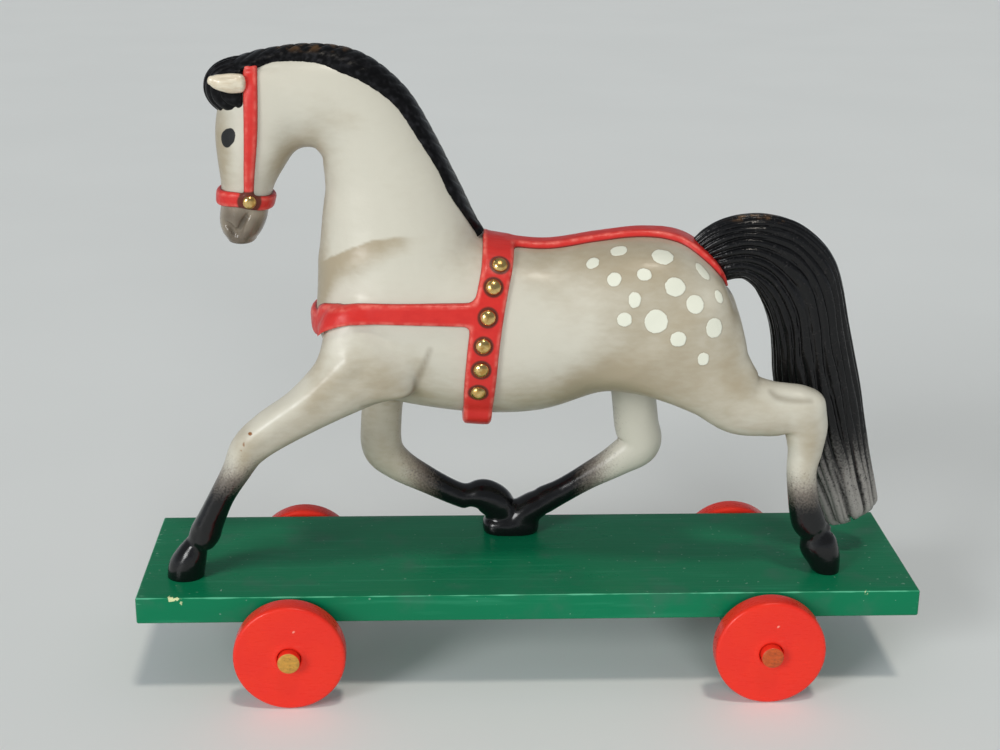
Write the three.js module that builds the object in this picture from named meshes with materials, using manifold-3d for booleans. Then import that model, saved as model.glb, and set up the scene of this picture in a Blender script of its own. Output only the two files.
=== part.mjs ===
// Pull along toy: a carved, painted dapple-grey horse on a green deck, with two dowel axles and four red wheels.
// Millimetres. +Z is up, the horse faces -X and its left ("near") side is -Y. The origin is on the floor,
// under the middle of the deck.
import * as THREE from 'three';
import * as BufferGeometryUtils from 'three/addons/utils/BufferGeometryUtils.js';
import Module from 'manifold-3d';

const wasm = await Module();
wasm.setup();

// ---- driving dimensions ----
const GAP = 0.3; // clearance where one piece is cut by its neighbour or lies on it

const WHEEL_RADIUS = 7.5;
const WHEEL_WIDTH = 3.1;
const WHEEL_EDGE = 0.4; // bevel on the tread's two edges
const WHEEL_BORE = 1.72;
const WHEEL_SEGMENTS = 40;
const WHEEL_TO_DECK = 1.0; // from the deck's side to the wheel's inner face
const AXLE_RADIUS = 1.5;
const AXLE_OVERHANG = 1.3; // how far the dowel stands out of each wheel
const AXLE_SEGMENTS = 20;
const AXLE_X = { front: -32.4, rear: 32.2 };

const DECK_LENGTH = 106;
const DECK_WIDTH = 27;
const DECK_THICKNESS = 3.8;
const DECK_TOP = WHEEL_RADIUS + 7.16;
const DECK_BOTTOM = DECK_TOP - DECK_THICKNESS;

const BLOCK_LENGTH = 8.4;
const BLOCK_WIDTH = 24.6;
const BLOCK_HEIGHT = 5.8;
const BLOCK_BORE = 1.75;

const PEG_RADIUS = 0.8;
const PEG_HOLE = 1.1;
const PEG_IN_HOOF = 2.2;

const HORSE_Y = 0.9; // the horse stands a little behind the deck's centre line
const NEAR_LEG_Y = HORSE_Y - 7.2;
const OFF_LEG_Y = HORSE_Y + 7.2;

const STRAP_THICKNESS = 0.8;
const GIRTH = { top: [-4.2, 61], bottom: [-7.9, 35], width: 4.1 };
const BREAST_STRAP_WIDTH = 3.2;
const BACK_STRAP_WIDTH = 3.2;
const STUD_RADIUS = 1.05;
const STUD_HEIGHT = 0.75;
const GIRTH_STUD_HEIGHTS = [58.6, 55.7, 52.2, 48.6, 45.1, 41.8];

const LOFT_SIDES = 20;
const LIMB_SIDES = 12;

// ---- the horse's form ----
// Torso sections: [x, top, bottom, half width].
const TORSO = [
  [-27.4, 54.0, 45.6, 3.2],
  [-26.8, 58.0, 42.4, 6.0],
  [-24.5, 61.5, 40.2, 8.3],
  [-19.0, 62.5, 38.6, 9.5],
  [-12.0, 62.0, 36.8, 9.8],
  [-5.0, 60.7, 36.1, 9.8],
  [2.0, 59.7, 36.6, 9.7],
  [9.0, 60.4, 39.0, 9.6],
  [15.0, 61.0, 40.6, 9.6],
  [20.0, 60.4, 41.0, 9.3],
  [24.0, 58.3, 42.5, 8.0],
  [26.2, 56.0, 45.5, 6.0],
  [27.2, 53.5, 48.5, 3.4],
];

// Head sections: [z, front, back, half width].
const HEAD = [
  [83.2, -38.6, -33.0, 2.4],
  [82.0, -39.6, -31.6, 3.6],
  [79.0, -40.6, -30.6, 4.4],
  [75.0, -41.2, -29.9, 4.7],
  [71.0, -41.0, -32.2, 4.4],
  [68.0, -40.7, -33.9, 3.9],
  [65.5, -40.7, -34.5, 3.6],
  [63.0, -41.1, -35.0, 3.5],
  [61.2, -40.6, -35.9, 3.0],
  [60.3, -39.3, -37.4, 1.6],
];

// Swept forms: [x, z, half thickness, half width], with each section square to its path.
const NECK = [
  [-16.5, 52.0, 10.6, 8.8],
  [-17.3, 59.0, 10.3, 8.0],
  [-18.7, 65.0, 8.6, 6.6],
  [-20.3, 70.5, 7.0, 5.6],
  [-22.6, 75.3, 5.9, 5.0],
  [-26.2, 78.2, 5.2, 4.8],
  [-30.5, 78.9, 5.0, 4.6],
  [-35.0, 78.5, 4.9, 4.4],
  [-37.5, 78.0, 4.0, 3.8],
];

const NEAR_FORE_LEG = [
  [-21.5, 45.0, 6.2, 2.9],
  [-25.6, 42.3, 4.3, 3.0],
  [-30.3, 38.7, 3.2, 2.7],
  [-34.9, 35.8, 2.9, 2.5],
  [-37.8, 33.3, 2.5, 2.3],
  [-39.6, 30.1, 1.9, 2.0],
  [-41.7, 26.4, 1.7, 1.9],
  [-43.9, 22.7, 1.95, 2.0],
  [-45.4, 19.8, 2.3, 2.2],
  [-46.5, 17.4, 2.8, 2.5],
  [-47.3, 14.8, 2.7, 2.5],
  [-47.6, 13.4, 2.4, 2.2],
];

const NEAR_HIND_LEG = [
  [19.5, 49.0, 8.2, 2.7],
  [24.0, 44.2, 6.8, 3.2],
  [28.0, 40.7, 5.3, 3.2],
  [32.0, 38.8, 3.9, 2.9],
  [35.4, 38.2, 3.6, 2.7],
  [37.4, 36.3, 3.1, 2.5],
  [37.5, 33.0, 2.4, 2.2],
  [37.2, 29.5, 2.05, 2.0],
  [37.7, 25.5, 2.1, 2.0],
  [38.7, 21.8, 2.3, 2.1],
  [40.4, 18.4, 2.6, 2.3],
  [41.4, 15.6, 2.2, 2.3],
  [41.9, 13.4, 1.9, 2.0],
];

const OFF_FORE_LEG = [
  [-19.0, 42.0, 3.6, 2.6],
  [-20.0, 36.0, 2.9, 2.5],
  [-20.5, 31.0, 2.9, 2.4],
  [-20.3, 27.4, 2.9, 2.3],
  [-17.8, 24.9, 2.4, 2.1],
  [-14.0, 22.6, 1.95, 1.9],
  [-10.3, 20.7, 1.8, 1.9],
  [-7.6, 20.1, 2.0, 2.1],
  [-5.4, 20.2, 2.3, 2.3],
  [-3.6, 19.2, 2.3, 2.2],
  [-2.4, 18.0, 1.7, 1.8],
];

const OFF_HIND_LEG = [
  [15.0, 45.0, 4.4, 2.7],
  [15.6, 36.5, 3.2, 2.5],
  [16.2, 31.0, 3.2, 2.4],
  [16.6, 27.6, 3.1, 2.3],
  [13.4, 25.3, 2.3, 2.1],
  [9.4, 23.0, 1.9, 1.9],
  [5.6, 20.7, 1.8, 1.9],
  [2.6, 19.0, 2.2, 2.1],
  [-0.2, 16.6, 2.2, 2.3],
  [-1.4, 15.2, 1.7, 2.2],
];

const MANE = [
  [-40.0, 82.9, 1.1, 2.3],
  [-37.5, 83.9, 1.5, 3.0],
  [-33.5, 84.5, 1.6, 3.2],
  [-29.5, 84.9, 1.6, 3.2],
  [-25.5, 84.2, 1.9, 3.1],
  [-21.5, 82.0, 2.1, 3.0],
  [-18.0, 78.7, 2.2, 2.8],
  [-15.0, 74.6, 2.1, 2.6],
  [-12.2, 69.9, 1.9, 2.4],
  [-9.9, 65.8, 1.5, 2.2],
  [-7.9, 62.9, 0.9, 1.7],
];

const FORELOCK = [
  [-40.6, 82.2, 0.8, 3.2],
  [-41.3, 81.2, 1.3, 3.6],
  [-41.2, 79.6, 1.3, 3.9],
  [-40.5, 78.2, 0.8, 3.6],
];

const EAR = [
  [-37.9, 81.0, 1.0, 1.3],
  [-39.2, 81.1, 1.2, 1.2],
  [-40.8, 81.3, 1.0, 0.8],
  [-41.8, 81.5, 0.5, 0.4],
];

const TAIL = [
  [24.6, 57.6, 3.0, 3.0],
  [27.6, 59.2, 4.1, 3.6],
  [31.6, 59.0, 4.7, 3.8],
  [35.4, 56.0, 5.1, 3.8],
  [37.6, 51.5, 5.1, 3.8],
  [39.3, 45.0, 5.4, 3.7],
  [41.0, 38.0, 5.5, 3.6],
  [43.0, 31.0, 4.9, 3.4],
  [45.0, 25.0, 4.1, 3.0],
  [46.2, 20.6, 3.5, 2.5],
];

// ---- materials ----
const paint = (color, roughness) => new THREE.MeshStandardMaterial({ color, roughness, metalness: 0 });
const dappleGrey = paint(0xcfc7b8, 0.4);
const blackPaint = paint(0x15161a, 0.35);
const redPaint = paint(0xd6322b, 0.4);
const wheelRed = paint(0xe8402f, 0.4);
const greenPaint = paint(0x1f7a4d, 0.4);
const bareWood = paint(0xb98d55, 0.7);
const brass = new THREE.MeshStandardMaterial({ color: 0xc9a24a, roughness: 0.35, metalness: 1 });

// ---- solids ----
// A closed geometry as a manifold solid.
function solid(geometry) {
  const bare = geometry.clone();
  bare.deleteAttribute('normal');
  bare.deleteAttribute('uv');
  const merged = BufferGeometryUtils.mergeVertices(bare, 1e-5);
  const mesh = new wasm.Mesh({
    numProp: 3,
    vertProperties: new Float32Array(merged.attributes.position.array),
    triVerts: new Uint32Array(merged.index.array),
  });
  return new wasm.Manifold(mesh);
}

// A manifold solid as a geometry.
function geometryOf(body) {
  const { vertProperties, triVerts } = body.getMesh();
  const geometry = new THREE.BufferGeometry();
  geometry.setAttribute('position', new THREE.BufferAttribute(vertProperties, 3));
  geometry.setIndex(new THREE.BufferAttribute(triVerts, 1));
  geometry.computeVertexNormals();
  return geometry;
}

function box(xRange, yRange, zRange) {
  const size = [xRange, yRange, zRange].map(([low, high]) => high - low);
  const middle = [xRange, yRange, zRange].map(([low, high]) => (low + high) / 2);
  return new THREE.BoxGeometry(...size).translate(...middle);
}

// A solid extruded through Y from an outline drawn in x and z.
function sidePlate(shape, yLow, yHigh) {
  const options = { depth: yHigh - yLow, bevelEnabled: false, curveSegments: 6 };
  return new THREE.ExtrudeGeometry(shape, options).rotateX(Math.PI / 2).translate(0, yHigh, 0);
}

// An outline through [x, y] corners.
const outline = (corners) => new THREE.Shape(corners.map(([x, y]) => new THREE.Vector2(x, y)));

// A smooth closed form through elliptical sections. Each section has a middle in the XZ plane, a half
// thickness in that plane and a half width along Y, and the form's two ends are low domes. A fixed
// direction keeps all the sections parallel, and otherwise they stand square to the path.
function loft(sections, { y = HORSE_Y, grow = 0, sides = LIMB_SIDES, direction = null } = {}) {
  const path = new THREE.CatmullRomCurve3(sections.map(([x, z]) => new THREE.Vector3(x, y, z)));
  const sizes = new THREE.CatmullRomCurve3(sections.map(([, , a, b]) => new THREE.Vector3(a, b, 0)));
  const across = new THREE.Vector3(0, 1, 0);
  const rings = sections.length - 1;
  const points = [];
  const heading = (t) => (direction ? direction.clone() : path.getTangent(t));
  const dome = (t, sign) => {
    const lift = 0.35 * sizes.getPoint(t).x + grow;
    points.push(path.getPoint(t).addScaledVector(heading(t), sign * lift));
  };
  dome(0, -1);
  for (let i = 0; i <= rings; i++) {
    const t = i / rings;
    const inPlane = new THREE.Vector3().crossVectors(across, heading(t)).normalize();
    const size = sizes.getPoint(t);
    for (let j = 0; j < sides; j++) {
      const angle = (2 * Math.PI * j) / sides;
      const point = path.getPoint(t);
      point.addScaledVector(inPlane, (size.x + grow) * Math.cos(angle));
      point.addScaledVector(across, (size.y + grow) * Math.sin(angle));
      points.push(point);
    }
  }
  dome(1, 1);
  const faces = [];
  const vertex = (ring, j) => 1 + ring * sides + (j % sides);
  const last = points.length - 1;
  for (let j = 0; j < sides; j++) {
    faces.push(0, vertex(0, j + 1), vertex(0, j));
    for (let i = 0; i < rings; i++) {
      faces.push(vertex(i, j), vertex(i, j + 1), vertex(i + 1, j + 1));
      faces.push(vertex(i, j), vertex(i + 1, j + 1), vertex(i + 1, j));
    }
    faces.push(last, vertex(rings, j), vertex(rings, j + 1));
  }
  const geometry = new THREE.BufferGeometry().setFromPoints(points);
  geometry.setIndex(faces);
  geometry.computeVertexNormals();
  return geometry;
}

// ---- the horse ----
const torsoSections = TORSO.map(([x, top, bottom, w]) => [x, (top + bottom) / 2, (top - bottom) / 2, w]);
const headSections = HEAD.map(([z, front, back, w]) => [(front + back) / 2, z, (back - front) / 2, w]);
const ALONG_X = new THREE.Vector3(1, 0, 0);
const DOWN = new THREE.Vector3(0, 0, -1);

// Torso, neck and head in one, grown outwards by a distance.
function horseForm(grow) {
  const torso = loft(torsoSections, { grow, sides: LOFT_SIDES, direction: ALONG_X });
  const neck = loft(NECK, { grow, sides: LOFT_SIDES });
  const head = loft(headSections, { grow, sides: LOFT_SIDES, direction: DOWN });
  return solid(torso).add(solid(neck)).add(solid(head));
}

const horse = horseForm(0);
const horseClearance = horseForm(GAP);
const strapOutside = horseForm(GAP + STRAP_THICKNESS);
const strapLayer = strapOutside.subtract(horseClearance);
const strapClearance = horseForm(2 * GAP + STRAP_THICKNESS);

const aboveDeck = solid(box([-60, 60], [-20, 20], [DECK_TOP + GAP, 100]));

// A peg hole up into a hoof, centred at x and y.
function pegHole(x, y) {
  const height = 2 * (PEG_IN_HOOF + GAP);
  const hole = new THREE.CylinderGeometry(PEG_HOLE, PEG_HOLE, height, 12).rotateX(Math.PI / 2);
  return solid(hole.translate(x, y, DECK_TOP));
}

const PEGS = [
  { name: 'near_fore_peg', x: -47.2, y: NEAR_LEG_Y },
  { name: 'near_hind_peg', x: 41.5, y: NEAR_LEG_Y },
  { name: 'off_hoof_peg', x: -1.9, y: OFF_LEG_Y },
];

function leg(sections, y, peg) {
  const standing = solid(loft(sections, { y })).subtract(horseClearance).intersect(aboveDeck);
  return peg ? standing.subtract(pegHole(peg.x, peg.y)) : standing;
}

// The black foot under the two off hooves, an oval stub that they are both joined to.
function hoofFoot() {
  const oval = new THREE.CylinderGeometry(3.6, 4.0, 2.0, 24).scale(1, 1, 0.66).rotateX(Math.PI / 2);
  return solid(oval.translate(-1.8, OFF_LEG_Y, DECK_TOP + GAP + 1.0));
}

const offHind = solid(loft(OFF_HIND_LEG, { y: OFF_LEG_Y })).subtract(horseClearance);
const offHindLeg = offHind.add(hoofFoot()).intersect(aboveDeck).subtract(pegHole(PEGS[2].x, PEGS[2].y));
const offHindClearance = solid(loft(OFF_HIND_LEG, { y: OFF_LEG_Y, grow: GAP })).add(
  solid(box([-6.2, 2.4], [OFF_LEG_Y - 3.2, OFF_LEG_Y + 3.2], [DECK_TOP, DECK_TOP + 2 * GAP + 2.0])),
);
const offForeLeg = leg(OFF_FORE_LEG, OFF_LEG_Y, null).subtract(offHindClearance);

// ---- the harness ----
// The girth's plate leans, and stands for its whole width along the horse.
function girthPlate(spare) {
  const [topX, topZ] = GIRTH.top;
  const [bottomX, bottomZ] = GIRTH.bottom;
  const half = GIRTH.width / 2 + spare;
  const lean = (topX - bottomX) / (topZ - bottomZ);
  const xAt = (z) => topX + lean * (z - topZ);
  const [low, high] = [30, 68];
  const corners = [
    [xAt(low) - half, low],
    [xAt(low) + half, low],
    [xAt(high) + half, high],
    [xAt(high) - half, high],
  ];
  return solid(sidePlate(outline(corners), -20, 20));
}

// The breast strap runs level along both sides and dips round the front of the chest.
function breastStrapPlate() {
  const half = BREAST_STRAP_WIDTH / 2;
  const band = new THREE.Shape();
  band.moveTo(0, 53 - half);
  band.lineTo(-20, 53 - half);
  band.quadraticCurveTo(-26, 53 - half, -31, 49.4 - half);
  band.lineTo(-31, 49.4 + half);
  band.quadraticCurveTo(-26, 53 + half, -20, 53 + half);
  band.lineTo(0, 53 + half);
  return solid(sidePlate(band, -20, 20)).intersect(solid(box([-40, -5], [-20, 20], [40, 60])));
}

// The back strap runs along the spine and spreads round the root of the tail.
function backStrapPlate() {
  const half = BACK_STRAP_WIDTH / 2;
  const spread = half + 2.1;
  const band = new THREE.Shape();
  band.moveTo(-8, -half);
  band.lineTo(17, -half);
  band.quadraticCurveTo(22, -half, 24, -spread);
  band.lineTo(32, -spread);
  band.lineTo(32, spread);
  band.lineTo(24, spread);
  band.quadraticCurveTo(22, half, 17, half);
  band.lineTo(-8, half);
  const options = { depth: 20, bevelEnabled: false, curveSegments: 5 };
  return solid(new THREE.ExtrudeGeometry(band, options).translate(0, HORSE_Y, 54.6));
}

const tailForm = solid(loft(TAIL, {}));
const tailClearance = solid(loft(TAIL, { grow: GAP }));
const girthClearance = girthPlate(GAP);

const girth = strapLayer.intersect(girthPlate(0));
const breastStrap = strapLayer.intersect(breastStrapPlate()).subtract(girthClearance);
const backStrap = strapLayer
  .intersect(backStrapPlate())
  .subtract(girthClearance)
  .intersect(solid(box([-3.5, 40], [-20, 20], [50, 80])))
  .subtract(tailClearance);

const cheekBand = (spare) => box([-37.4 - spare, -35.8 + spare], [-12, 12], [67.4 - spare, 95]);
const headstall = strapLayer.intersect(solid(cheekBand(0)));
const noseband = strapLayer.intersect(solid(box([-48, -30], [-12, 12], [65.2, 67.1])));
const headstallClearance = strapClearance.intersect(solid(cheekBand(GAP)));

// ---- mane, forelock, ears and tail ----
const forelock = solid(loft(FORELOCK, {})).subtract(horseClearance);
const forelockClearance = solid(loft(FORELOCK, { grow: GAP }));
const withersStop = solid(box([-7.2, 20], [-20, 20], [50, 80]));
const mane = solid(loft(MANE, {}))
  .subtract(horseClearance)
  .subtract(headstallClearance)
  .subtract(forelockClearance)
  .subtract(withersStop);

function ear(side) {
  const form = solid(loft(EAR, { y: HORSE_Y + 4.9 * side, sides: 10 }));
  return form.subtract(horseClearance).subtract(forelockClearance).subtract(headstallClearance);
}

const tail = tailForm.subtract(horseClearance);

// ---- the parts as named meshes ----
const toy = new THREE.Group();

function addPart(parent, name, geometry, material) {
  const mesh = new THREE.Mesh(geometry, material);
  mesh.name = name;
  parent.add(mesh);
  return mesh;
}

const addSolid = (name, body, material) => addPart(toy, name, geometryOf(body), material);

// A board with three peg holes, drilled from the top.
function deckGeometry() {
  const [halfX, halfY] = [DECK_LENGTH / 2, DECK_WIDTH / 2];
  const board = outline([
    [-halfX, -halfY],
    [halfX, -halfY],
    [halfX, halfY],
    [-halfX, halfY],
  ]);
  for (const { x, y } of PEGS) {
    board.holes.push(new THREE.Path().absarc(x, y, PEG_HOLE, 0, 2 * Math.PI, true));
  }
  const options = { depth: DECK_THICKNESS, bevelEnabled: false, curveSegments: 12 };
  return new THREE.ExtrudeGeometry(board, options).translate(0, 0, DECK_BOTTOM);
}

// A bearer glued across the deck's underside, bored for its axle.
function axleBlockGeometry() {
  const [half, top, bottom] = [BLOCK_LENGTH / 2, DECK_BOTTOM - GAP, DECK_BOTTOM - GAP - BLOCK_HEIGHT];
  const side = outline([
    [-half, bottom],
    [half, bottom],
    [half, top],
    [-half, top],
  ]);
  side.holes.push(new THREE.Path().absarc(0, WHEEL_RADIUS, BLOCK_BORE, 0, 2 * Math.PI, true));
  const options = { depth: BLOCK_WIDTH, bevelEnabled: false, curveSegments: AXLE_SEGMENTS };
  return new THREE.ExtrudeGeometry(side, options).rotateX(Math.PI / 2).translate(0, BLOCK_WIDTH / 2, 0);
}

// A flat disc with a bore and two bevelled edges, turned about Y.
function wheelGeometry() {
  const [half, edge] = [WHEEL_WIDTH / 2, WHEEL_EDGE];
  const rim = WHEEL_RADIUS;
  const profile = [
    [WHEEL_BORE, -half],
    [rim - edge, -half],
    [rim, edge - half],
    [rim, half - edge],
    [rim - edge, half],
    [WHEEL_BORE, half],
    [WHEEL_BORE, -half],
  ];
  return new THREE.LatheGeometry(profile.map(([r, h]) => new THREE.Vector2(r, h)), WHEEL_SEGMENTS);
}

// A dowel through both wheels, with its ends standing proud. The wheels are fixed on it.
function addAxle(place) {
  const wheelY = DECK_WIDTH / 2 + WHEEL_TO_DECK + WHEEL_WIDTH / 2;
  const length = 2 * (wheelY + WHEEL_WIDTH / 2 + AXLE_OVERHANG);
  const assembly = new THREE.Group();
  assembly.position.set(AXLE_X[place], 0, WHEEL_RADIUS);
  const dowel = new THREE.CylinderGeometry(AXLE_RADIUS, AXLE_RADIUS, length, AXLE_SEGMENTS);
  addPart(assembly, `${place}_axle`, dowel, bareWood);
  for (const [side, sign] of [['near', -1], ['off', 1]]) {
    addPart(assembly, `${side}_${place}_wheel`, wheelGeometry(), wheelRed).position.y = sign * wheelY;
  }
  toy.add(assembly);
}

function studGeometry() {
  const dome = [
    [0, 0],
    [STUD_RADIUS, 0],
    [STUD_RADIUS * 0.96, STUD_HEIGHT * 0.35],
    [STUD_RADIUS * 0.7, STUD_HEIGHT * 0.8],
    [0, STUD_HEIGHT],
  ];
  return new THREE.LatheGeometry(dome.map(([r, h]) => new THREE.Vector2(r, h)), 12);
}

// A domed nail head, with its flat back GAP clear of the strap and its top turned along the direction.
function addStud(name, x, y, z, direction) {
  const stud = addPart(toy, name, studGeometry(), brass);
  stud.quaternion.setFromUnitVectors(new THREE.Vector3(0, 1, 0), direction);
  stud.position.set(x, y, z).addScaledVector(direction, GAP);
}

// The studs follow the girth, which is nearly an ellipse seen from the front.
function addGirthStuds() {
  const middle = (60.7 + 36.1) / 2;
  const layer = GAP + STRAP_THICKNESS;
  const [halfHeight, halfWidth] = [12.3 + layer, 9.8 + layer];
  const lean = (GIRTH.top[0] - GIRTH.bottom[0]) / (GIRTH.top[1] - GIRTH.bottom[1]);
  for (const [side, sign] of [['near', -1], ['off', 1]]) {
    GIRTH_STUD_HEIGHTS.forEach((z, index) => {
      const angle = Math.asin((z - middle) / halfHeight);
      const normal = new THREE.Vector3(0, sign * Math.cos(angle) / halfWidth, Math.sin(angle) / halfHeight);
      const y = HORSE_Y + sign * halfWidth * Math.cos(angle);
      const x = GIRTH.top[0] + lean * (z - GIRTH.top[1]);
      addStud(`${side}_girth_stud_${index + 1}`, x, y, z, normal.normalize());
    });
  }
}

function addPegs() {
  const bottom = DECK_BOTTOM + GAP;
  const height = DECK_TOP + PEG_IN_HOOF - bottom;
  for (const { name, x, y } of PEGS) {
    const peg = new THREE.CylinderGeometry(PEG_RADIUS, PEG_RADIUS, height, 12).rotateX(Math.PI / 2);
    addPart(toy, name, peg, bareWood).position.set(x, y, bottom + height / 2);
  }
}

addPart(toy, 'deck', deckGeometry(), greenPaint);
for (const place of ['front', 'rear']) {
  addPart(toy, `${place}_axle_block`, axleBlockGeometry(), greenPaint).position.x = AXLE_X[place];
  addAxle(place);
}
addPegs();

addSolid('horse_body', horse, dappleGrey);
addSolid('near_fore_leg', leg(NEAR_FORE_LEG, NEAR_LEG_Y, PEGS[0]), dappleGrey);
addSolid('near_hind_leg', leg(NEAR_HIND_LEG, NEAR_LEG_Y, PEGS[1]), dappleGrey);
addSolid('off_fore_leg', offForeLeg, dappleGrey);
addSolid('off_hind_leg', offHindLeg, dappleGrey);
addSolid('near_ear', ear(-1), dappleGrey);
addSolid('off_ear', ear(1), dappleGrey);
addSolid('mane', mane, blackPaint);
addSolid('forelock', forelock, blackPaint);
addSolid('tail', tail, blackPaint);

addSolid('girth', girth, redPaint);
addSolid('breast_strap', breastStrap, redPaint);
addSolid('back_strap', backStrap, redPaint);
addSolid('headstall', headstall, redPaint);
addSolid('noseband', noseband, redPaint);
addGirthStuds();
for (const [side, sign] of [['near', -1], ['off', 1]]) {
  const outside = HORSE_Y + sign * (3.65 + GAP + STRAP_THICKNESS);
  addStud(`${side}_noseband_stud`, -37.3, outside, 66.2, new THREE.Vector3(0, sign, 0));
}

export default toy;
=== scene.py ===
"""The looks of a pull along toy: a carved, painted dapple-grey horse on a green deck with red wheels.

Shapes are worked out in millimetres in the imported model's frame and stored in metres. The horse faces -X, and
its near (left) side is -Y.
"""

import itertools
import math
from functools import cache

import bmesh
import bpy
import numpy as np
from mathutils import Euler, Matrix, Vector


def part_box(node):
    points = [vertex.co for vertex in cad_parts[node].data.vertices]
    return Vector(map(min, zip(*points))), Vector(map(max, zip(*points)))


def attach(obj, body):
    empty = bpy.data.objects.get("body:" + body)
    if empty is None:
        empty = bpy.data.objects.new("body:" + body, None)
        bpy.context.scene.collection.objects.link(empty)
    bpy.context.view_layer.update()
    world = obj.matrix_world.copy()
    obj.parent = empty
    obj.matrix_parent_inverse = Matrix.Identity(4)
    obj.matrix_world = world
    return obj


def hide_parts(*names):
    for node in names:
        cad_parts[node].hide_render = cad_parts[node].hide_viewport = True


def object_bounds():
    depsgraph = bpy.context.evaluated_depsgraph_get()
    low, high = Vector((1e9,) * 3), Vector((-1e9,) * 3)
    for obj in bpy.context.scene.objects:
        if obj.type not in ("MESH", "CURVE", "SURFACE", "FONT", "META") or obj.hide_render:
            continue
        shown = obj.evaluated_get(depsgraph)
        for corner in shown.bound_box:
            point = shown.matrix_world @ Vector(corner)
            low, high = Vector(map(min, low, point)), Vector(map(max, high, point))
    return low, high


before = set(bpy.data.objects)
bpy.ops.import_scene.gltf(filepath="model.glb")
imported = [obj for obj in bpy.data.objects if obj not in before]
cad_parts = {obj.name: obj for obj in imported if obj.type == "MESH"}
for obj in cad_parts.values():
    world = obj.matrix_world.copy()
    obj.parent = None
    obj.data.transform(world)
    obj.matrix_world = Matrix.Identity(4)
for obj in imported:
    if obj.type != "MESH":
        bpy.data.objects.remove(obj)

CAD_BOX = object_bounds()
MM = 0.001
HORSE_BODY = "deck_and_horse"
# Well outside any part, in millimetres.
FAR = 9.0
COARSE = 1.0


def box_mm(node):
    """A CAD node's lowest and highest corners, in millimetres."""
    low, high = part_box(node)
    return np.array(low) * 1000, np.array(high) * 1000


def middle_mm(node):
    low, high = box_mm(node)
    return (low + high) / 2


DECK_LOW, DECK_HIGH = box_mm("deck")
DECK_TOP = DECK_HIGH[2]
MID_Y = middle_mm("horse_body")[1]
NEAR_Y = middle_mm("near_fore_peg")[1]
OFF_Y = middle_mm("off_hoof_peg")[1]

# ---- the horse's form, as a distance field

# Torso: x, top, bottom, half width.
TORSO = [
    [-25.6, 54, 45, 3.4], [-24.4, 57.6, 42.2, 6], [-22.4, 60.2, 40.2, 8], [-19, 62, 38.2, 9.2],
    [-12, 61.8, 36.8, 9.7], [-5, 60.2, 36.2, 9.8], [2, 59.4, 36.7, 9.7], [9, 60.4, 39, 9.6],
    [15, 61, 40.6, 9.6], [20, 60.4, 41, 9.3], [23.6, 58.3, 42, 8.2], [25.6, 55.9, 44.3, 6.4],
    [26.7, 53.4, 46.8, 4.2],
]

# Head: z, front, back, half width.
HEAD = [
    [83, -38.6, -33, 3], [81.5, -39.8, -31, 4], [79, -40.6, -30, 4.5], [76.5, -41.1, -29.3, 4.8],
    [74, -41.3, -30, 4.8], [71, -41.1, -31.9, 4.5], [68, -40.8, -33.7, 4], [65.5, -40.9, -34.5, 3.7],
    [63.2, -41.2, -35, 3.7], [61.6, -40.9, -35.7, 3.4], [60.7, -40.3, -36.4, 2.8],
]

# Neck, chest and legs, swept along their length: x, z, half thickness in the XZ plane, half width along Y.
NECK = [
    [-16.8, 50, 11.3, 8.4], [-17.5, 57.5, 10.8, 8], [-18.3, 64.1, 9.6, 6.8], [-19.6, 70, 7.95, 5.9],
    [-21.9, 75.2, 6.8, 5.4], [-25.8, 78.4, 6.35, 5], [-30.5, 79, 6.1, 4.8], [-35, 78.8, 5.5, 4.6],
]

CHEST = [
    [-16.4, 44.5, 10.5, 7.8], [-16.6, 46.5, 11.1, 8.5], [-16.8, 50, 11.65, 8.8], [-17.2, 54, 11.2, 8.5],
    [-18, 58.5, 9.8, 7.4],
]

NEAR_FORE = [
    [-20.5, 46.5, 6.6, 3], [-25.4, 42.4, 4.5, 3.2], [-30.2, 38.8, 3.25, 2.8], [-34.9, 35.8, 2.85, 2.5],
    [-37.8, 33.3, 2.5, 2.35], [-39.6, 30.1, 1.95, 2], [-41.7, 26.4, 1.7, 1.85], [-43.3, 23, 1.9, 1.95],
    [-44.1, 21.2, 2.1, 2.1], [-44.6, 20.2, 1.95, 2],
]

NEAR_HIND = [
    [19, 48.9, 8, 3], [23.4, 43.9, 6.2, 3.4], [25.4, 41.9, 5.3, 3.4], [28.3, 39.4, 4.5, 3.2],
    [31.8, 38.55, 3.9, 3], [35, 38.2, 3.6, 2.8], [37.1, 36.5, 3.2, 2.6], [37.5, 33, 2.45, 2.2],
    [37.2, 29.5, 2.05, 2], [37.7, 25.5, 2.1, 1.95], [38.5, 22.4, 2.35, 2.1], [39.1, 21.2, 2.25, 2.1],
]

OFF_FORE = [
    [-19, 43, 3.8, 2.8], [-20, 36.5, 2.95, 2.6], [-20.5, 31.5, 2.9, 2.5], [-20.3, 27.6, 2.9, 2.4],
    [-18, 25, 2.4, 2.1], [-14, 22.6, 1.95, 1.9], [-10.6, 20.8, 1.75, 1.85], [-8.4, 19.9, 1.75, 1.9],
]

OFF_HIND = [
    [15, 45, 4.6, 2.9], [15.5, 37, 3.3, 2.6], [16.1, 31.5, 3.2, 2.5], [16.6, 28, 3.1, 2.4],
    [13.6, 25.5, 2.4, 2.1], [9.4, 23, 1.9, 1.9], [5.8, 20.8, 1.8, 1.9], [3.2, 19.4, 2, 2],
]


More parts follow.
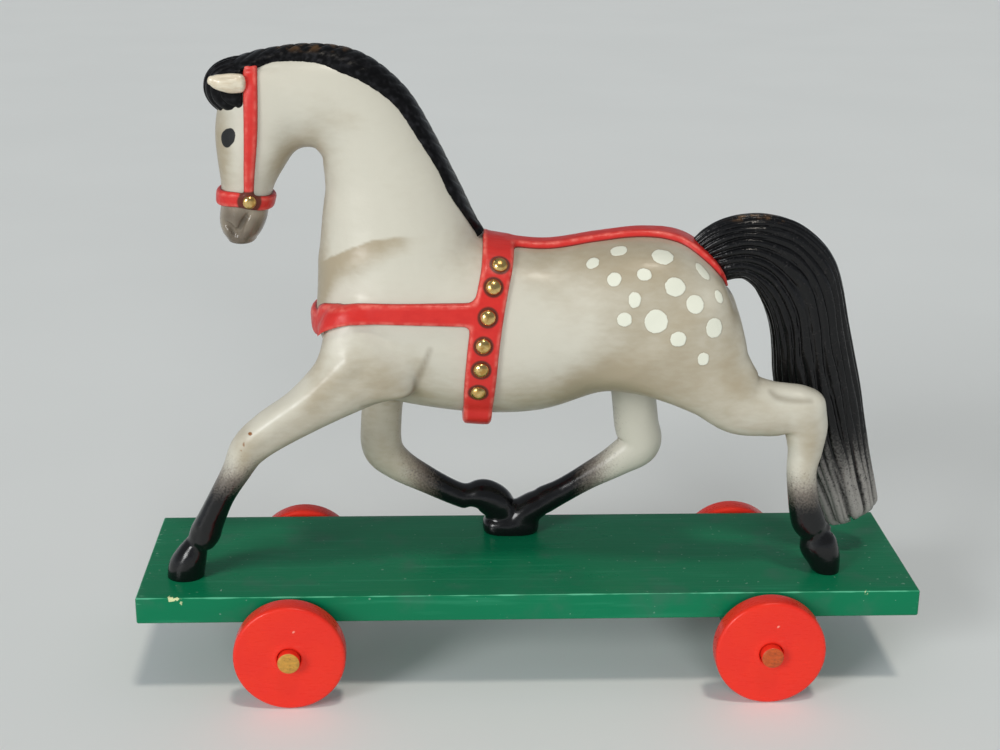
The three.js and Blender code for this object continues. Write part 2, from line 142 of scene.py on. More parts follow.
def smooth_rows(table, per_span=10):
    """A table of stations, filled in along smooth curves through its rows."""
    rows = np.array(table, float)
    ends = np.vstack([2 * rows[0] - rows[1], rows, 2 * rows[-1] - rows[-2]])
    slopes = (ends[2:] - ends[:-2]) / 2
    t = np.linspace(0, 1, per_span, endpoint=False)[:, None]
    spans = []
    for a, b, va, vb in zip(rows, rows[1:], slopes, slopes[1:]):
        h00, h10 = 2 * t**3 - 3 * t**2 + 1, t**3 - 2 * t**2 + t
        h01, h11 = -2 * t**3 + 3 * t**2, t**3 - t**2
        spans.append(h00 * a + h10 * va + h01 * b + h11 * vb)
    return np.vstack(spans + [rows[-1:]])


def section_distance(u, v, w, a, b, c, power=2.0):
    """About how far a point is outside a rounded section, with half sizes a and b, and c past an end."""
    qu, qv, qw = np.abs(u / a), np.abs(v / b), np.abs(w / c)
    k = np.maximum((qu**power + qv**power + qw**power) ** (1 / power), 1e-4)
    slope = np.sqrt(sum((q ** (power - 1) / size) ** 2 for q, size in ((qu, a), (qv, b), (qw, c))))
    return (k - 1) * k ** (power - 1) / np.maximum(slope, 1e-4)


def sweep(table, middle, cap=0.8, power=2.0):
    """A part swept along a path at y = middle, or off to one side of that by the rows' fifth column."""
    rows = smooth_rows(table)
    stray = rows[:, 4] if rows.shape[1] > 4 else np.zeros(len(rows))
    last = len(rows) - 2

    def distance(x, y, z):
        shape = np.broadcast_shapes(x.shape, z.shape)
        best, place = np.full(shape, 1e9), np.zeros(shape)
        past = np.zeros(shape)
        for i, (p, q) in enumerate(zip(rows[:, :2], rows[1:, :2])):
            d = q - p
            length = math.hypot(*d)
            s = ((x - p[0]) * d[0] + (z - p[1]) * d[1]) / length**2
            on = np.clip(s, 0, 1)
            r = (x - p[0] - on * d[0]) ** 2 + (z - p[1] - on * d[1]) ** 2
            near = r < best
            best = np.where(near, r, best)
            place = np.where(near, i + on, place)
            beyond = np.clip((s - on) * length, None if i == 0 else 0, None if i == last else 0)
            past = np.where(near, beyond, past)
        low = np.minimum(place.astype(int), last)
        share = place - low
        a = rows[low, 2] * (1 - share) + rows[low + 1, 2] * share
        b = rows[low, 3] * (1 - share) + rows[low + 1, 3] * share
        v = y - middle - stray[low] * (1 - share) - stray[low + 1] * share
        u = np.sqrt(np.maximum(best - past**2, 0))
        return section_distance(u, v, past, a, b, cap * np.minimum(a, b), power)

    size = rows[:, 2].max() + 1
    low = [rows[:, 0].min() - size, middle + (stray - rows[:, 3]).min(), rows[:, 1].min() - size]
    high = [rows[:, 0].max() + size, middle + (stray + rows[:, 3]).max(), rows[:, 1].max() + size]
    return distance, np.array(low), np.array(high)


def stack(table, middle, axis, cap, power=2.0):
    """A part of parallel sections along X (axis 0) or Z (axis 1): place, one edge, other edge, half width."""
    rows = smooth_rows(table)
    rows = rows[np.argsort(rows[:, 0])]

    def distance(x, y, z):
        along, across = (x, z) if axis == 0 else (z, x)
        place = np.clip(along, rows[0, 0], rows[-1, 0])
        one, other, b = (np.interp(place, rows[:, 0], rows[:, i]) for i in (1, 2, 3))
        half, centre = np.abs(one - other) / 2, (one + other) / 2
        return section_distance(across - centre, y - middle, along - place, half, b, cap, power)

    edges = rows[:, 1:3]
    spans = [(rows[0, 0] - cap, rows[-1, 0] + cap), (edges.min(), edges.max())]
    (xa, xb), (za, zb) = spans if axis == 0 else spans[::-1]
    wide = rows[:, 3].max()
    return distance, np.array([xa, middle - wide, za]), np.array([xb, middle + wide, zb])


def ball(centre, radii, turn=0.0, power=2.0):
    """An ellipsoid, turned in the XZ plane by an angle in degrees."""
    c, s = math.cos(math.radians(turn)), math.sin(math.radians(turn))

    def distance(x, y, z):
        dx, dz = x - centre[0], z - centre[2]
        return section_distance(c * dx + s * dz, y - centre[1], c * dz - s * dx, *radii, power)

    reach = np.array([max(radii[0], radii[2]), radii[1], max(radii[0], radii[2])])
    return distance, np.array(centre) - reach, np.array(centre) + reach


def joined(a, b, k):
    """The union of two fields, with a fillet of about k."""
    h = np.clip(0.5 + 0.5 * (b - a) / k, 0, 1)
    return b + (a - b) * h - k * h * (1 - h)


# The upper arm, a mass proud of the ribs on either side, with its elbow as a crease: as NECK.
UPPER_ARM = [
    [-18.6, 55, 3.2, 1.8], [-19.4, 52.2, 5.4, 3], [-20.4, 49, 6.8, 3.6], [-21.2, 45.5, 6.75, 3.9],
    [-21.6, 42.7, 6.1, 3.75],
]

# The ridge down the near fore leg, between its front and its side: as NECK, then how far out it runs.
FORE_RIDGE = [
    [-24, 46, 0.9, 0.7, -2.5], [-28.8, 41.5, 0.9, 0.7, -2.15], [-33.8, 37.8, 0.85, 0.7, -1.9],
    [-37.2, 35, 0.8, 0.7, -1.75], [-38.9, 31.4, 0.7, 0.6, -1.45], [-42, 27, 0.6, 0.5, -1.3],
    [-44.3, 22.6, 0.6, 0.5, -1.4],
]

# Hooves: as NECK.
NEAR_FORE_HOOF = [
    [-45.4, 19.4, 1.6, 1.8], [-46.2, 17.7, 2.15, 2.35], [-46.9, 16, 2.5, 2.5], [-47.2, 14.4, 2.5, 2.3],
]

NEAR_HIND_HOOF = [
    [39.6, 20.2, 1.9, 1.9], [40.2, 18.6, 2.6, 2.4], [41.1, 16.6, 2.35, 2.4], [41.7, 14.4, 1.8, 2.2],
]

OFF_FORE_HOOF = [
    [-8, 20.2, 1.6, 2], [-5.9, 20.2, 2.3, 2.4], [-4, 19, 2.5, 2.4], [-2.6, 17.4, 2, 2.2],
]

OFF_HIND_HOOF = [
    [3.4, 19.5, 1.7, 2], [1.4, 18.3, 2.1, 2.4], [-0.6, 16.9, 2.2, 2.6], [-2.2, 15.8, 1.6, 2.3],
]

# Carved lines on either side of the head and on the near hock: x, z, half width, half depth.
NOSTRIL = [
    [-40.3, 63.2, 0.3, 0.45], [-39.5, 62.8, 0.4, 0.6], [-39, 61.9, 0.4, 0.6], [-39.3, 61.1, 0.25, 0.4],
]
MOUTH = [
    [-37, 64.6, 0.25, 0.3], [-37.8, 63.4, 0.35, 0.5], [-38.3, 62, 0.35, 0.5], [-38.4, 60.9, 0.25, 0.4],
]
HOCK = [
    [31.8, 41.6, 0.1, 0.2], [32.7, 40.9, 0.3, 0.45], [34.6, 40.4, 0.35, 0.6], [37.2, 40.3, 0.1, 0.3],
]


def horse_parts():
    """(part, fillet, whether it cuts) for the whole horse."""
    torso = [
        (stack(TORSO, MID_Y, 0, 1.3, 2.15), 0.1),
        (sweep(CHEST, MID_Y, 0.4, 2.4), 1.0),
        (sweep(NECK, MID_Y, 0.6, 2.1), 1.6),
        (stack(HEAD, MID_Y, 1, 0.8, 2.2), 1.6),
    ]
    masses, carved = [], []
    for side in (-1, 1):
        thigh = ball((16.5, MID_Y + side * 5.6, 49.5), (10.5, 4.3, 9.0), -20)
        masses.append((sweep(UPPER_ARM, MID_Y + side * 5.9, 0.5, 3.2), 0.45))
        masses.append((thigh, 4.0))
        carved.append((sweep(NOSTRIL, MID_Y + side * 3.0, 0.5), 0.35))
        carved.append((sweep(MOUTH, MID_Y + side * 3.3, 0.5), 0.3))
    carved.append((sweep(HOCK, NEAR_Y - 2.75, 0.5), 0.5))
    hock = ball((37.1, NEAR_Y, 39.1), (2.5, 2.3, 2.2), -15, 2.6)
    fetlock = ball((41.0, NEAR_Y, 21.4), (1.1, 0.8, 0.5), -35)
    shared_foot = ball((-1.8, OFF_Y, DECK_TOP + 0.9), (4.1, 2.8, 1.7), 0, 2.8)
    legs = [
        (sweep(NEAR_FORE, NEAR_Y - 0.3, 0.7), 1.3),
        (sweep(NEAR_HIND, NEAR_Y, 0.7), 3.2),
        (hock, 1.2),
        (sweep(OFF_FORE, OFF_Y, 0.7), 1.3),
        (sweep(OFF_HIND, OFF_Y, 0.7), 2.2),
        (sweep(FORE_RIDGE, NEAR_Y - 0.3, 0.8), 1.5),
    ]
    feet = [
        (sweep(NEAR_FORE_HOOF, NEAR_Y - 0.1, 0.5), 0.3),
        (sweep(NEAR_HIND_HOOF, NEAR_Y, 0.5), 0.35),
        (fetlock, 0.3),
        (sweep(OFF_FORE_HOOF, OFF_Y, 0.6), 0.35),
        (sweep(OFF_HIND_HOOF, OFF_Y, 0.6), 0.35),
        (shared_foot, 0.6),
    ]
    solids = torso + masses + legs + feet
    return [(*part, False) for part in solids] + [(*part, True) for part in carved]


def on_grid(parts, axes):
    """The whole field on a grid, with each part worked out only round itself."""
    field = np.full([len(a) for a in axes], FAR, np.float32)
    for (distance, low, high), k, cuts in parts:
        ranges = [
            slice(np.searchsorted(a, lo - k - 1.5), np.searchsorted(a, hi + k + 1.5))
            for a, lo, hi in zip(axes, low, high)
        ]
        x, y, z = (a[r] for a, r in zip(axes, ranges))
        found = distance(x[:, None, None], y[None, :, None], z[None, None, :])
        box = tuple(ranges)
        field[box] = -joined(-field[box], found, k) if cuts else joined(field[box], found, k)
    return field


def sampled(grid, points):
    """A grid's field at loose points."""
    field, axes = grid
    spacing = axes[0][1] - axes[0][0]
    place = (points - [a[0] for a in axes]) / spacing
    place = np.clip(place, 0, np.array(field.shape) - 1.001)
    low = place.astype(int)
    t = place - low
    total = np.zeros(len(points))
    for corner in np.ndindex(2, 2, 2):
        weight = np.prod(np.where(corner, t, 1 - t), axis=1)
        total += weight * field[tuple((low + corner).T)]
    return total


def grid_normals(grid, points):
    """The field's direction and steepness at loose points."""
    step = 0.5 * (grid[1][0][1] - grid[1][0][0])
    steps = np.eye(3) * step
    grads = np.stack([sampled(grid, points + o) - sampled(grid, points - o) for o in steps], axis=1)
    size = np.linalg.norm(grads, axis=1)
    return grads / np.maximum(size, 1e-9)[:, None], size / (2 * step)


def surface_net(field, axes, h):
    """Vertices (mm) and quads of the field's zero surface."""
    inside = field < 0
    corners = np.array(list(np.ndindex(2, 2, 2)))
    shape = np.array(field.shape) - 1
    count = np.zeros(shape, np.int8)
    for i, j, k in corners:
        count += inside[i : i + shape[0], j : j + shape[1], k : k + shape[2]]
    cells = np.argwhere((count > 0) & (count < 8))
    number = np.full(shape, -1, np.int32)
    number[tuple(cells.T)] = np.arange(len(cells))
    total, hits = np.zeros((len(cells), 3)), np.zeros(len(cells))
    for a in corners:
        for axis in range(3):
            if a[axis]:
                continue
            b = a.copy()
            b[axis] = 1
            fa, fb = field[tuple((cells + a).T)], field[tuple((cells + b).T)]
            cross = (fa < 0) != (fb < 0)
            t = np.where(cross, fa / np.where(cross, fa - fb, 1), 0)
            total += (a + t[:, None] * (b - a)) * cross[:, None]
            hits += cross
    start = np.array([a[0] for a in axes])
    points = start + h * (cells + total / hits[:, None])
    quads = []
    for axis in range(3):
        one, two = (axis + 1) % 3, (axis + 2) % 3
        ahead = np.roll(inside, -1, axis)
        for leaves in (True, False):
            edge = np.argwhere((inside & ~ahead) if leaves else (~inside & ahead))
            edge = edge[(edge[:, axis] < shape[axis]) & (edge[:, one] > 0) & (edge[:, two] > 0)]
            steps = [(0, 0), (-1, 0), (-1, -1), (0, -1)]
            around = []
            for p, q in steps if leaves else steps[::-1]:
                cell = edge.copy()
                cell[:, one] += p
                cell[:, two] += q
                around.append(number[tuple(cell.T)])
            quads.append(np.stack(around, 1))
    return points, np.vstack(quads)


def relaxed(points, quads, grid, rounds=2):
    """Evens out the vertices along the surface, and puts them back on it."""
    edges = np.vstack([quads[:, [i, (i + 1) % 4]] for i in range(4)])
    for _ in range(rounds):
        total, hits = np.zeros_like(points), np.zeros(len(points))
        for i, j in ((0, 1), (1, 0)):
            np.add.at(total, edges[:, i], points[edges[:, j]])
            np.add.at(hits, edges[:, i], 1)
        points = points + 0.5 * (total / hits[:, None] - points)
        normals, slope = grid_normals(grid, points)
        points -= normals * np.clip(sampled(grid, points) / np.maximum(slope, 0.3), -0.3, 0.3)[:, None]
    return points


def box_axes(low, high, spacing):
    return [np.arange(a, b, spacing) for a, b in zip(low, high)]


def net_of(grid, rounds=2):
    """Points and quads of a grid's surface."""
    field, axes = grid
    points, quads = surface_net(field, axes, axes[0][1] - axes[0][0])
    return relaxed(points, quads, grid, rounds), quads


# ---- meshes

def new_piece(name, points, faces, materials, replaces=(), body=HORSE_BODY, values=None, faces_of=None):
    """A piece of the object from points in millimetres. values are named numbers for each point."""
    mesh = bpy.data.meshes.new(name)
    corners = [tuple(int(i) for i in face) for face in faces]
    mesh.from_pydata([tuple(p) for p in np.asarray(points) * MM], [], corners)
    for key, numbers in (values or {}).items():
        mesh.attributes.new(key, "FLOAT", "POINT").data.foreach_set("value", np.asarray(numbers, np.float32))
    for material in materials:
        mesh.materials.append(material)
    if faces_of is not None:
        mesh.polygons.foreach_set("material_index", np.asarray(faces_of, np.int32))
    shape = bmesh.new()
    shape.from_mesh(mesh)
    bmesh.ops.recalc_face_normals(shape, faces=shape.faces)
    shape.to_mesh(mesh)
    shape.free()
    mesh.shade_smooth()
    piece = bpy.data.objects.new(name, mesh)
    bpy.context.scene.collection.objects.link(piece)
    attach(piece, body)
    if replaces:
        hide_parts(*replaces)
    return piece


def ringed(rings):
    """Points and faces of a closed form through rings of points, with its two ends capped."""
    rings = np.asarray(rings)
    count, size = rings.shape[:2]
    faces = []
    for i, j in np.ndindex(count - 1, size):
        k = (j + 1) % size
        faces.append((i * size + j, i * size + k, (i + 1) * size + k, (i + 1) * size + j))
    faces.append(tuple(range(size))[::-1])
    faces.append(tuple(range((count - 1) * size, count * size)))
    return rings.reshape(-1, 3), faces


def turned(profile, sides):
    """Rings of a form turned about Y, from (radius, y) points."""
    angle = np.arange(sides) * 2 * math.pi / sides
    return np.array([[(r * math.cos(a), y, r * math.sin(a)) for a in angle] for r, y in profile])


def fade(value, start, end):
    """0 at start and 1 at end, with a smooth change between."""
    t = np.clip((value - start) / (end - start), 0, 1)
    return t * t * (3 - 2 * t)


# ---- the horse's skin and its paint

HORSE = horse_parts()
SKIN_AXES = box_axes((-52.0, MID_Y - 12.5, DECK_TOP - 1.0), (46.0, MID_Y + 13.5, 87.0), 0.38 * COARSE)
SKIN = (on_grid(HORSE, SKIN_AXES), SKIN_AXES)

# Painted marks on both sides of the body: x, z, width and height measured along the skin.
SPOTS = [
    [7.9, 58.5, 1.7, 1.9], [11.4, 59.9, 2.2, 2.3], [17, 59.6, 2.9, 2.8], [22.3, 57.6, 1.6, 2.8],
    [10.5, 57, 1.8, 1.9], [14.4, 57.7, 1.9, 1.7], [18.4, 56.2, 2.7, 2.5], [24.3, 54.7, 1.2, 1.8],
    [13.1, 54.6, 1.6, 2.1], [21, 54, 2.3, 2.4], [11.8, 52.1, 1.9, 1.9], [15.9, 51.9, 3, 3.1],
    [23.6, 50.9, 2.3, 2.6], [18.8, 49.6, 2.1, 2], [22.3, 46.8, 1.5, 1.8],
]
EYE = [[-39.5, 74.4, 1.9, 2.2], [-39.15, 74.75, 1.9, 2.1], [-38.85, 75.1, 1.4, 1.6]]
# Small chips on the near knee only.
CHIPS = [[-37.3, 36.3, 0.75, 0.5], [-38.2, 34.8, 0.35, 0.8], [-38.6, 34, 0.3, 0.5]]

# Where the grey is browner, partly brown antique paint and partly painted shade where surfaces turn from the
# light: x, z, reach along x, reach along z, amount.
BROWN_AND_SHADE_PLACES = [
    [16, 59, 11, 5, 0.5], [2, 60, 12, 4.5, 0.55], [15, 51, 10, 9, 0.3], [26.5, 50, 2.2, 8, 0.5],
    [30, 43, 4, 2.5, 0.5], [-28.5, 50, 1.8, 9, 0.6], [-28, 61, 1.6, 10, 0.5], [-24.5, 77, 3.5, 2.5, 0.35],
    [-32, 71.5, 2.2, 4, 0.55], [-41, 73, 2.2, 8, 1], [8, 41, 9, 3.5, 0.45], [10.5, 43, 5, 4, 0.45],
    [-18, 43, 6, 3.5, 0.3], [-38.5, 34, 2, 5, 0.4], [38.5, 33, 2.5, 6, 0.5],
]
# The upper edge of the painted shade under the neck's overhang on the shoulder: x, z.
SHOULDER_SHADE_LINE = [[-29, 56.5], [-26.5, 59], [-24.5, 60.3], [-21, 61.9], [-18, 62.4], [-13, 62.6]]
# Where the feet turn black: heights on the near legs, and places along X on the off legs.
NEAR_FORE_BLACK, NEAR_HIND_BLACK = 28.0, 25.2
OFF_FORE_BLACK, OFF_HIND_BLACK, HOOVES_MEET = -13.2, 8.4, -1.6
LEG_TOP = 34.0
MUZZLE_TOP = 66.0
# Painted shade along carved lines on both sides: x, z, half width.
CARVED_LINE_SHADE = [
    [[-13.5, 47.8, 0], [-14.3, 45.6, 0.3], [-15.2, 43.4, 0.6], [-15.8, 41.6, 0.6], [-17.2, 40.6, 0.3]],
    [[-17.2, 40.6, 0.3], [-19.6, 40.2, 0.1], [-22.5, 40, 0]],
    NOSTRIL,
    MOUTH,
]


def skin_y(x, z, side):
    """Where a line across the toy at x and z meets the horse's skin, on the near (-1) or off (1) side."""
    y = MID_Y + side * np.arange(0.0, 13.0, 0.05)
    level = sampled(SKIN, np.stack([np.full_like(y, x), y, np.full_like(y, z)], axis=1))
    return y[np.flatnonzero(level < 0).max(initial=0)]


def mark_values(points, marks, sides=(-1, 1)):
    """How far inside the nearest painted mark a point is."""
    found = np.full(len(points), -5.0)
    for x, z, width, height in marks:
        for side in sides:
            centre = np.array([x, skin_y(x, z, side), z])
            normal = grid_normals(SKIN, centre[None])[0][0]
            along = np.cross(normal, (0, 0, side))
            along /= np.linalg.norm(along)
            away = points - centre
            u, v, w = away @ along, away @ np.cross(normal, along), away @ normal
            inside = (1 - np.sqrt((2 * u / width) ** 2 + (2 * v / height) ** 2)) * min(width, height) / 2
            found = np.maximum(found, np.where(np.abs(w) < 1.5, inside, -5.0))
    return found


def line_values(points, lines, sides=(-1, 1)):
    """How far inside the nearest painted line a point is."""
    found = np.full(len(points), -5.0)
    for line, side in itertools.product(lines, sides):
        rows = smooth_rows(line, 8)
        close = np.flatnonzero(
            (np.abs(points[:, 0] - rows[:, 0].mean()) < 5) & (np.abs(points[:, 2] - rows[:, 1].mean()) < 8)
        )
        for x, z, half in rows[:, :3]:
            away = np.linalg.norm(points[close] - (x, skin_y(x, z, side), z), axis=1)
            found[close] = np.maximum(found[close], 0.4 * half - away)
    return found


def skin_values(points):
    """The numbers that the horse's paint follows, at each point of its skin."""
    x, y, z = points.T
    near, off = ((z < LEG_TOP) & (side * (y - MID_Y) > 2) for side in (-1, 1))
    blacks = [NEAR_FORE_BLACK - z, NEAR_HIND_BLACK - z, x - OFF_FORE_BLACK, OFF_HIND_BLACK - x]
    black = np.select([near & (x < 0), near, off & (x < HOOVES_MEET), off], blacks, -FAR)
    # Browner in the listed places: partly brown antique paint, partly painted shade.
    brown_and_shade = sum(
        amount * np.exp(-(((x - at_x) / reach_x) ** 2) - ((z - at_z) / reach_z) ** 2)
        for at_x, at_z, reach_x, reach_z, amount in BROWN_AND_SHADE_PLACES
    )
    # Painted shade under the neck's overhang: crisp at the top, fading downward.
    line = np.array(SHOULDER_SHADE_LINE)
    below = np.interp(x, line[:, 0], line[:, 1]) - z
    reach = np.interp(x, [-28, -14], [7.0, 3.0])
    shoulder_shade = fade(below, -0.2, 0.35) * (1 - fade(below, 0.3, reach)) * fade(x, -12, -22) * (z > 52)
    normals, _ = grid_normals(SKIN, points)
    # How enclosed each point is, at two reaches, for painted shade in creases and hollows.
    crease, hollow = (1 - sampled(SKIN, points + normals * reach) / reach for reach in (1.5, 5.0))
    # Painted shade: undersides, hollows and the lower off fore leg, in the body's shadow, are browner.
    brown_and_shade += 0.5 * fade(-normals[:, 2], -0.05, 0.8) * (z > 30)
    brown_and_shade += 0.9 * np.clip(hollow - 0.15, 0, 1) * (z > 28)
    brown_and_shade += 0.5 * (y > MID_Y + 3) * (x < 0) * fade(z, 40, 35)
    return {
        "black": black,
        "muzzle": np.where((x < -33) & (z > 58), MUZZLE_TOP - z, -FAR),
        "spots": mark_values(points, SPOTS),
        "eye": mark_values(points, EYE),
        "brown_and_shade": brown_and_shade + 0.95 * shoulder_shade,
        "crease": np.clip(crease, 0, 1),
        "chips": mark_values(points, CHIPS, [-1]),
        "lines": np.maximum(line_values(points, CARVED_LINE_SHADE), line_values(points, [HOCK], [-1])),
    }


def make_horse():
    points, quads = net_of(SKIN)
    points[:, 2] = np.maximum(points[:, 2], DECK_TOP)
    nodes = ["horse_body", "near_fore_leg", "near_hind_leg", "off_fore_leg", "off_hind_leg"]
    new_piece("horse_skin", points, quads, [horse_paint()], nodes, values=skin_values(points))


# ---- the harness

# How thick the strips are.
STRAP, BRIDLE_STRAP = 0.85, 0.7
# The girth's and headstall's edges: z, front x, rear x.
GIRTH = [
    [33, -9.1, -5.4], [38.9, -9.05, -5.1], [42.7, -9, -4.8], [48, -8.6, -4.4], [52.5, -8, -3.8],
    [56, -7.2, -3.1], [58.4, -6.7, -2.5], [63, -6.2, -1.8],
]
HEADSTALL = [
    [65.5, -37.5, -36.3], [68.7, -37.45, -36.1], [74.7, -37.15, -35.4], [80.5, -37.05, -35.15],
    [86, -37.15, -35.3],
]
# The breast strap's and noseband's edges: x, lower z, upper z.
BREAST_STRAP = [
    [-33, 47.4, 50.8], [-28.8, 47.8, 51.2], [-28.3, 48.6, 51.9], [-27.5, 49.7, 52.7], [-26.2, 50.5, 53.1],
    [-24.5, 51.1, 53.5], [-22, 51.25, 53.85], [-12, 51.1, 54], [-4, 50.9, 54],
]
NOSEBAND = [
    [-42.5, 65.2, 67.3], [-38.7, 65.5, 67.5], [-37, 65.2, 67.2], [-35.1, 64.8, 66.8], [-33, 64.5, 66.4],
]
# Where the breast strap ends in the girth, and the headstall at the noseband and the poll.
BREAST_STRAP_END, HEADSTALL_ENDS = -6, (66, 84)
# How far the back strap runs, and how low it and the strip round the tail's root go.
BACK_STRAP_ENDS, BACK_STRAP_FOOT, TAIL_STRIP_FOOT = (-4, 25), 55, 54.2
# The back strap: x, half width.
BACK_STRAP = [[-4, 1.75], [12, 1.6], [17, 1.9], [20, 2.6], [23, 3.8], [26, 4.6]]

# The studs on each side: x, z.
GIRTH_STUDS = [[-4.45, 57.85], [-5.3, 55.6], [-6, 52.15], [-6.55, 48.55], [-6.8, 45.35], [-7.1, 42.05]]
NOSEBAND_STUD = [-36.9, 66.35]
STUD_RADIUS = 1.05
# A stud's dome: share of its radius, height.
STUD_DOME = [
    (1, -0.3), (1.02, 0), (1, 0.14), (0.93, 0.3), (0.8, 0.48), (0.6, 0.62), (0.35, 0.71), (0.1, 0.74),
]


def band(along, across, table):
    """How far a point is outside a band between two edges, given along its length."""
    rows = smooth_rows(table, 6)
    low, high = (np.interp(along, rows[:, 0], rows[:, i]) for i in (1, 2))
    return np.maximum(low - across, across - high)


def both(a, b, k):
    """Where two fields overlap, with an edge rounded by about k."""
    return -joined(-a, -b, k)


def tail_root_parts():
    rows = [[(a + c) / 2, (b + d) / 2, math.dist((a, b), (c, d)) / 2, w] for a, b, c, d, w in TAIL[:6]]
    return [(sweep(rows, MID_Y, 0.6), 0.1, False)]


def body_straps(x, y, z, skin, tail_root):
    """Distance outside the outline of the girth, breast strap and back strap, seen square on to each."""
    girth = band(z, x, GIRTH)
    level = x - 0.65 * (x + 29) * fade(y - MID_Y, -2, 7)
    breast = np.maximum(band(level, z, BREAST_STRAP), x - BREAST_STRAP_END)
    half = np.interp(x, *np.array(BACK_STRAP).T)
    past_end = np.maximum(BACK_STRAP_ENDS[0] - x, x - BACK_STRAP_ENDS[1])
    back = np.maximum(np.abs(y - MID_Y) - half, np.maximum(BACK_STRAP_FOOT - z, past_end))
    root = np.maximum(tail_root - 1.1, TAIL_STRIP_FOOT - z)
    return np.broadcast_to(joined(joined(girth, breast, 1.1), joined(back, root, 1.5), 1.1), skin.shape)


def straps_on(low, high, spacing, outline, thickness, studs):
    """A raised band on the horse's skin: its points, quads and the numbers its paint follows."""
    axes = box_axes(low, high, spacing * COARSE)
    skin = on_grid(HORSE, axes)
    root = on_grid(tail_root_parts(), axes)
    shape = outline(*np.ix_(*axes), skin, root)
    # Thicker where the girth goes under the belly.
    under = 0.8 * fade(axes[2], 39.0, 36.5)
    layer = both(skin - thickness - under, -skin - 0.6, 0.1)
    solid = (both(layer, shape, 0.6), axes)
    points, quads = net_of(solid)
    found = {
        "lift": sampled((skin, axes), points),
        "inside": -sampled((shape, axes), points),
        "stud": stud_distance(points, studs),
    }
    return points, quads, found


def stud_distance(points, places):
    """How far each point is from the nearest stud's middle."""
    centres = [(x, skin_y(x, z, side), z) for x, z in places for side in (-1, 1)]
    return np.min([np.linalg.norm(points - c, axis=1) for c in centres], axis=0)


def make_harness():
    paint = strap_paint()
    low, high = (-31.2, MID_Y - 11.6, 33.0), (29.0, MID_Y + 11.6, 64.5)
    points, quads, found = straps_on(low, high, 0.27, body_straps, STRAP, GIRTH_STUDS)
    nodes = ["girth", "breast_strap", "back_strap"]
    new_piece("body_harness", points, quads, [paint], nodes, values=found)

    def bridle(x, y, z, skin, root):
        past_end = np.maximum(HEADSTALL_ENDS[0] - z, z - HEADSTALL_ENDS[1])
        cheek = np.maximum(band(z, x, HEADSTALL), past_end)
        return np.broadcast_to(joined(cheek, band(x, z, NOSEBAND), 0.5), skin.shape)

    low, high = (-43.5, MID_Y - 6.5, 63.5), (-32.0, MID_Y + 6.5, 86.0)
    points, quads, found = straps_on(low, high, 0.2, bridle, BRIDLE_STRAP, [NOSEBAND_STUD])
    new_piece("bridle", points, quads, [paint], ["headstall", "noseband"], values=found)


def make_studs():
    """Domed nail heads, pressed a little into the straps and each turned a little differently."""
    metal = brass()
    rings = turned([(r * STUD_RADIUS, h) for r, h in STUD_DOME], 32)
    places = [(f"girth_stud_{i + 1}", x, z, STRAP, 1.0) for i, (x, z) in enumerate(GIRTH_STUDS)]
    places.append(("noseband_stud", *NOSEBAND_STUD, BRIDLE_STRAP, 0.85))
    for side, word in ((-1, "near"), (1, "off")):
        for i, (name, x, z, thickness, size) in enumerate(places):
            foot = np.array([x, skin_y(x, z, side), z])
            normal = grid_normals(SKIN, foot[None])[0][0]
            lean = 0.06 * np.array([math.sin(5.1 * i + side), 0, math.cos(3.7 * i)])
            turn = Vector((0, 1, 0)).rotation_difference(Vector(normal + lean)).to_matrix()
            points, faces = ringed(rings)
            points = size * points @ np.array(turn).T + foot + normal * (thickness - 0.05)
            new_piece(f"{word}_{name}_dome", points, faces, [metal], [f"{word}_{name}"])


# ---- mane, forelock, ears and tail

# The mane's crest line and its lower edge beside it: crest x, crest z, edge x, edge z.
MANE = [
    [-41, 82.6, -40, 81.9], [-39.4, 83.9, -39, 82.8], [-37, 84.8, -37, 83.4], [-34, 85.55, -33.8, 84.1],
    [-30, 86.1, -30.2, 84.3], [-26, 86, -27.1, 84], [-22.8, 85.25, -24.8, 83.1], [-19.8, 83.6, -22.2, 82],
    [-16.8, 80.9, -19.4, 80.2], [-14.8, 78.2, -17.2, 78.1], [-12.5, 74, -14.8, 74.4],
    [-10.5, 70, -12.3, 70.3], [-9, 67, -10.9, 67.3], [-7.5, 63.8, -8.9, 64.1], [-6.2, 61.6, -7.1, 61],
]

# The tail's outer and inner edges seen from the side, and its half width: x, z, x, z, half width.
TAIL = [
    [22, 60.2, 24.6, 54.6, 2.6], [23.6, 61.7, 26.4, 54.5, 3], [25.8, 62.85, 27.8, 54.8, 3.4],
    [28.6, 63.55, 29, 54.7, 3.7], [32, 63.6, 30.4, 53.6, 3.9], [35.8, 62.6, 31.5, 51.9, 4],
    [39.1, 60.3, 32.5, 49.7, 4], [41.4, 57.4, 33.2, 47.2, 4], [42.7, 53.9, 33.6, 44.4, 4],
    [43.7, 49.6, 33.9, 41.2, 3.9], [44.9, 44.9, 34.6, 37.4, 3.8], [46.2, 39.8, 36, 33, 3.6],
    [47.3, 34.4, 37.8, 28.8, 3.5], [48.5, 29, 39.8, 24.8, 3.3], [49.4, 25.4, 41.1, 21.8, 3.2],
    [50, 22.8, 42.2, 19.2, 3],
]

# Where the forelock is cut off behind, at the headstall, and how far out the ears stand.
FORELOCK_BACK, EAR_OUT = -37.1, 4.95
# The near ear and its hollow: as NECK.
EAR = [
    [-37.4, 81.75, 1.2, 0.9], [-38.5, 81.75, 1.25, 1.15], [-39.7, 81.85, 1.05, 1.1], [-40.5, 82, 0.85, 0.8],
    [-40.9, 82.1, 0.6, 0.55],
]
EAR_HOLLOW = [[-37.6, 82.8, 0.35, 0.4], [-39.4, 82.8, 0.35, 0.5], [-40.8, 82.6, 0.2, 0.3]]


